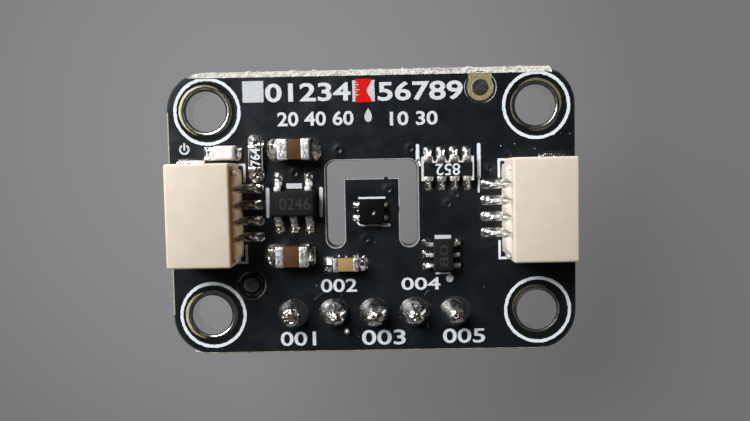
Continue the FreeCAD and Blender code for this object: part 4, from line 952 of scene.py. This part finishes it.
# Where the pins were cut off the solder is crumpled and catches the light
tips = Heap()
for number, x, y, height, girth in ((0, 0.1, -0.06, 0.98, 0.42), (0, 0.4, -0.36, 0.44, 0.26),
                                    (1, 0.16, -0.14, 1.15, 0.42), (2, 0.12, -0.1, 1.17, 0.46),
                                    (2, 0.5, -0.02, 0.8, 0.17), (3, 0.1, -0.2, 1.1, 0.42),
                                    (4, 0.17, -0.12, 1.15, 0.44)):
    tips.add(lathe([(girth, -0.16), (girth * 0.94, -0.04), (girth * 0.72, 0.05), (girth * 0.45, 0.09),
                    (girth * 0.2, 0.11), (0.01, 0.11)], (number - 2) * PIN_PITCH + JOINTS[number][0] + x,
                   -HOLE_Y + y, TOP + height, 32, 0.45, number * 2.3 + x))
tips.done("header_joint_tips", [SPARK], crease=60)

# Loose specks, balls and hairs of solder
loose = Heap()
for x, y in ((-2.104, -2.748), (-1.65, -2.819), (-1.151, -2.79), (-0.932, -2.744), (-0.559, -2.82)):
    loose.add(lathe([(0.04, 0.0), (0.08, 0.04), (0.09, 0.09), (0.075, 0.14), (0.04, 0.175), (0.01, 0.18)],
                    x, y, TOP + 0.005, steps=16, wobble=0.1, seed=x))
loose.add(lathe([(0.14, 0.0), (0.2, 0.07), (0.21, 0.15), (0.17, 0.25), (0.09, 0.31), (0.02, 0.33)],
                -1.71, -7.51, TOP, steps=20, wobble=0.2))
loose.add(lathe([(0.05, 0.0), (0.055, 0.04), (0.04, 0.08), (0.01, 0.1)], -0.87, 0.04, TOP, steps=12))
for x, y in ((8.03, 3.87), (8.88, 4.0), (10.12, 3.69), (11.72, 4.57), (12.29, 4.53), (11.28, 4.5),
             (-3.55, -4.62), (6.9, -4.9), (-1.0, -7.85)):
    loose.add(lathe([(0.03, 0.0), (0.038, 0.025), (0.03, 0.05), (0.01, 0.06)], x, y, TOP, steps=10))
for x, y, turn, length in ((3.2, -5.3, 1.1, 0.42), (3.35, -5.75, -0.6, 0.34), (3.45, -6.6, 1.4, 0.22),
                           (3.3, -7.1, -1.2, 0.25), (-3.4, -5.25, 0.7, 0.36), (-3.7, -5.45, 0.3, 0.26),
                           (1.55, -6.7, -0.4, 0.18), (0.12, -1.97, 0.2, 0.06)):
    bend = rng.uniform(-0.6, 0.6)
    points = [(x, y)]
    for step in range(5):
        x += length / 5 * math.cos(turn)
        y += length / 5 * math.sin(turn)
        points.append((x, y))
        turn += bend / 3
    loose.add(stroke(points, 0.07, TOP, 0.045))
loose.done("solder_flecks", [SOLDER])


# Moulded parts

for name, finish, radius in (("sensor", SENSOR_EPOXY, 0.035), ("regulator", EPOXY, 0.05),
                             ("level_shifter", SHIFTER_EPOXY, 0.04)):
    softened(f"{name}_body", finish, radius, shortest=0.3)
softened("regulator_leads", LEAD, 0.03)
softened("level_shifter_leads", LEAD, 0.022)
solder_for("regulator_joints", "regulator_solder", feet_of("regulator_leads", 0.16), 0.26, 0.1,
           0.45, blob=0.14, size=(0.24, 0.24), lip=0.1, dark=lambda x, y: y < 0)
solder_for("level_shifter_joints", "level_shifter_solder", feet_of("level_shifter_leads", 0.13),
           0.2, 0.08, 0.4, blob=0.18, size=(0.2, 0.18), lip=0.08, inset=0.3,
           trim=lambda x0, y0, x1, y1: (
               x0 + (0.08 if x0 < SHIFTER_X else 0), SHIFTER_Y + 1.15 * (y0 - SHIFTER_Y),
               x1 - (0 if x0 < SHIFTER_X else 0.25), SHIFTER_Y + 1.15 * (y1 - SHIFTER_Y)),
           dark=lambda x, y: x > SHIFTER_X)
low, high = (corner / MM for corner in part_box("sensor_body"))
solder_for("sensor_joints", "sensor_solder", [(low.x, low.y, high.x, high.y)], 0.3, 0.05, 0.3,
           lip=0.05, power=1.2, trim=lambda x0, y0, x1, y1: (x0, y0, min(x1, 1.0), y1),
           dark=lambda x, y: x > 0)
Heap(lathe([(0.235, -0.012), (0.245, 0.004), (0.232, 0.004), (0.19, -0.03), (0.15, -0.036),
            (0.11, -0.06), (0.11, -0.075)], (low.x + high.x) / 2, (low.y + high.y) / 2, high.z, 48)).done(
    "sensor_vent_ring", [SHADED_LAND])
Heap(figures("0246", (-5.6, 0.22, -3.72, 0.95), TOP + 1.143, 0.01),
     figures("80", (4.1, -3.45, 4.62, -2.1), TOP + 0.944, 0.008, turn=90)).done(
    "package_figures", [MARKING])


# Chip parts

def chip_box(node, radius, steps=2, rough=0.0, seed=0.0, widen=0.0):
    """Rounded blocks in place of a node's solids, with an uneven skin and the first one widened."""
    result = []
    for low, high in sorted((tuple(low), tuple(high)) for low, high, points in islands(node)):
        low = Vector(low)
        high = Vector(high) + Vector((0 if result else widen, 0, 0))
        work = bmesh.new()
        bmesh.ops.create_cube(work, size=1.0)
        bmesh.ops.scale(work, vec=high - low, verts=work.verts)
        bmesh.ops.translate(work, vec=(high + low) / 2, verts=work.verts)
        bmesh.ops.bevel(work, geom=work.edges[:], offset=radius, segments=steps, profile=0.5,
                        affect="EDGES")
        if rough:
            bmesh.ops.subdivide_edges(work, edges=work.edges[:], cuts=3, use_grid_fill=True)
            for vert in work.verts:
                where = vert.co * 4 + Vector((seed, 0, 0))
                vert.co += (vert.co - (low + high) / 2).normalized() * rough * noise.noise(where)
        result.append(([tuple(v.co) for v in work.verts],
                       [tuple(v.index for v in face.verts) for face in work.faces]))
        work.free()
    return result


for name, slot, body, wall, middle, left, right, widen in (
        ("capacitor_1", "capacitor_brown", BROWN, 0.8, -4.68, -0.18, 0.0, 0.13),
        ("capacitor_2", "capacitor_brown", BROWN, 0.72, -4.95, -0.2, -0.22, 0.0),
        ("capacitor_3", "capacitor_tan", TAN, 0.5, -1.68, -0.06, 0.0, 0.0)):
    Heap(*chip_box(f"{name}_body", 0.03)).done(f"{name}_block", [body], [f"{name}_body"])
    ends = Heap(*chip_box(f"{name}_terminals", 0.085, 4, 0.02, wall * 7, widen))
    ends.done(f"{name}_ends", [TIN], [f"{name}_terminals"], crease=60)
    solder_for(f"{name}_joints", f"{name}_solder", feet_of(f"{name}_terminals", 5), wall, 0.3, 0.34,
               blob=0.12, size=(0.16, 0.5), lip=0.12, power=2.0, inset=0.24,
               dark=lambda x, y: x > middle,
               trim=lambda x0, y0, x1, y1: (x0 + (left if x0 < middle - 0.4 else 0.0), y0,
                                            x1 + (0.0 if x0 < middle - 0.4 else right), y1),
               extra=((-6.17, 4.3, 0.22, 0.26, 0.34), (-6.5, -2.22, 0.14, 0.22, 0.22),
                      (-6.5, -3.02, 0.12, 0.22, 0.2), (-1.0, -3.5, 0.15, 0.15, 0.12)))

softened("resistor_substrate", ALUMINA, 0.02)
softened("resistor_overcoat", COAT, 0.012, steps=2)
# The resistor's terminals take the crumpled solder's darker tone: painted shade
softened("resistor_terminals", CRINKLED_SHADED, 0.012, steps=2)
solder_for("resistor_joints", "resistor_solder", feet_of("resistor_terminals", 5), 0.42, 0.2, 0.5,
           blob=0.15, size=(0.25, 0.3), dark=lambda x, y: y < 3.4)
# The array's ceramic plate has a round notch between two terminals, three along each long side
plate = []
for edge, first, last in ((1.815, 3.1, 6.3), (3.305, 6.3, 3.1)):
    inward = 1 if edge < 2 else -1
    plate.append((first, edge))
    for centre in sorted((3.927, 4.709, 5.52), reverse=first > last):
        for step in range(13):
            turn = math.pi * step / 12
            plate.append((centre - inward * 0.15 * math.cos(turn), edge + inward * 0.31 * math.sin(turn)))
    plate.append((last, edge))
Heap(slab(plate, 1.63, 0.44), ([(x, y, 1.63) for x, y in plate], [tuple(range(len(plate)))])).done(
    "resistor_array_plate", [ALUMINA], ["resistor_array_substrate"], crease=30)
Heap(slab(box_outline(3.219, 2.077, 6.202, 2.918, 0.008), 2.07, 0.04, 0.01)).done(
    "resistor_array_coat", [COAT], ["resistor_array_overcoat"])
softened("resistor_array_terminals", TIN, 0.012, steps=2)
solder_for("resistor_array_joints", "resistor_array_solder", feet_of("resistor_array_terminals", 5),
           0.3, 0.2, 0.35, blob=0.16, size=(0.26, 0.18), inset=0.36, lip=0.09, dark=lambda x, y: y < 2.5)
Heap(figures("852", (3.95, 2.14, 5.45, 2.86), TOP + 0.508, 0.01, turn=180, weight=0.01),
     figures("764", (-7.42, 2.95, -6.8, 4.02), TOP + 0.458, 0.01, turn=90, weight=0.02)).done(
    "resistor_figures", [LIT_WHITE_LINE])


def lens_point(u, v):
    """The lamp's moulded resin: a box with soft edges and a shallow dip in its top."""
    swell = ((1 - abs(2 * u - 1) ** 9) * (1 - abs(2 * v - 1) ** 9)) ** 0.5
    dip = max(0, 1 - math.hypot(3 * u - 1.5, 2.4 * v - 1.2))
    return -9.69 + 1.34 * u, 3.331 + 0.899 * v, 1.82 + 0.4 * swell - 0.06 * dip


Heap(grid(24, 18, lens_point)).done("lamp_dome", [RESIN], ["lamp_lens"], crease=80)
softened("lamp_terminals", LEAD, 0.012, steps=2)
finish_node("lamp_base_plate", LAMP_BASE)
solder_for("lamp_joints", "lamp_solder", feet_of("lamp_terminals", 5), 0.3, 0.12, 0.3, blob=0.1,
           size=(0.2, 0.4), trim=lambda x0, y0, x1, y1: (x0 - 0.1, y0, x1 - 0.1, y1),
           dark=lambda x, y: x > -9)


# Studio

floor_z = -8.55 * MM
stage = bpy.data.meshes.new("floor")
stage.from_pydata([(-2, -2, floor_z), (2, -2, floor_z), (2, 2, floor_z), (-2, 2, floor_z)], [],
                  [(0, 1, 2, 3)])
ground = bpy.data.objects.new("floor", stage)
bpy.context.scene.collection.objects.link(ground)

# Rays from the camera, off metal and through glass see a grey with a painted pool of light: it darkens away
# from one spot
paper = Finish("floor_grey", (0.3, 0.3, 0.305), 0.9)
reach = paper.node("ShaderNodeVectorMath")
reach.operation = "DISTANCE"
reach.inputs[1].default_value = (-0.0085, 0.0045, floor_z)
paper.link(paper.place, reach.inputs[0])
tones = [(place, (level * 0.992, level * 0.997, level * 1.03))
         for place, level in ((0.0, 0.249), (0.3, 0.24), (0.62, 0.207), (0.97, 0.152))]
glow = paper.node("ShaderNodeEmission")
paper.link(paper.ramp(paper.spread(reach.outputs["Value"], 0.0, 0.03, 0.0, 1.0), *tones),
           glow.inputs["Color"])
path = paper.node("ShaderNodeLightPath").outputs
seen = paper.maths("MAXIMUM", path["Is Camera Ray"], path["Is Glossy Ray"])
seen = paper.maths("MAXIMUM", seen, path["Is Transmission Ray"])
mixed = paper.node("ShaderNodeMixShader")
paper.link(paper.maths("MULTIPLY", seen, 0.86), mixed.inputs["Fac"])
paper.link(paper.shader.outputs["BSDF"], mixed.inputs[1])
paper.link(glow.outputs["Emission"], mixed.inputs[2])
paper.link(mixed.outputs["Shader"], paper.tree.nodes["Material Output"].inputs["Surface"])
stage.materials.append(paper.material)


def softbox(name, place, size, watts, colour=(1, 1, 1)):
    """A rectangular lamp that faces the board."""
    lamp = bpy.data.lights.new(name, "AREA")
    lamp.shape = "RECTANGLE"
    lamp.size, lamp.size_y = size
    lamp.energy = watts
    lamp.color = colour
    holder = bpy.data.objects.new(name, lamp)
    holder.location = place
    holder.rotation_euler = (-Vector(place)).to_track_quat("-Z", "Y").to_euler()
    bpy.context.scene.collection.objects.link(holder)
    return holder


softbox("key", (-0.183, 0.178, 0.197), (0.22, 0.16), 2.05)
for name, place, size, watts, colour in (
        ("warm_card", (0.2, -0.16, 0.14), (0.12, 0.08), 0.014, (1.0, 0.42, 0.25)),
        ("straw_card", (0.12, -0.26, 0.12), (0.08, 0.06), 0.006, (0.8, 0.9, 0.35)),
        ("front_card", (0.05, -0.3, 0.1), (0.3, 0.15), 0.035, (1.0, 1.0, 1.0)),
        ("rear_card", (-0.24, 0.22, 0.035), (0.34, 0.1), 0.1, (1.0, 1.0, 1.0))):
    softbox(name, place, size, watts, colour).visible_diffuse = False

softbox("side_fill", (0.28, 0.0, 0.03), (0.06, 0.25), 0.3, (1.0, 0.8, 0.55)).visible_glossy = False

world = bpy.data.worlds.new("studio")
world.use_nodes = True
world.node_tree.nodes["Background"].inputs["Color"].default_value = (0.8, 0.84, 0.9, 1)
world.node_tree.nodes["Background"].inputs["Strength"].default_value = 0.028
bpy.context.scene.world = world
bpy.context.scene.view_settings.view_transform = "Standard"

lens = bpy.data.cameras.new("camera")
lens.sensor_width = 36.0
lens.sensor_fit = "HORIZONTAL"
lens.lens = 33.18
lens.clip_start = 0.002
lens.clip_end = 20.0
camera = bpy.data.objects.new("camera", lens)
# The camera's right, up and back directions, nearly those of the board
turned = Matrix(((0.99973043, -0.01985503, -0.01203503), (0.01915762, 0.99827328, -0.05552868),
                 (0.01311678, 0.05528315, 0.99838456))).transposed().to_4x4()
camera.matrix_world = Matrix.Translation(Vector((0.7457, 2.414, 44.526)) * MM) @ turned
bpy.context.scene.collection.objects.link(camera)
bpy.context.scene.camera = camera

bpy.context.view_layer.update()
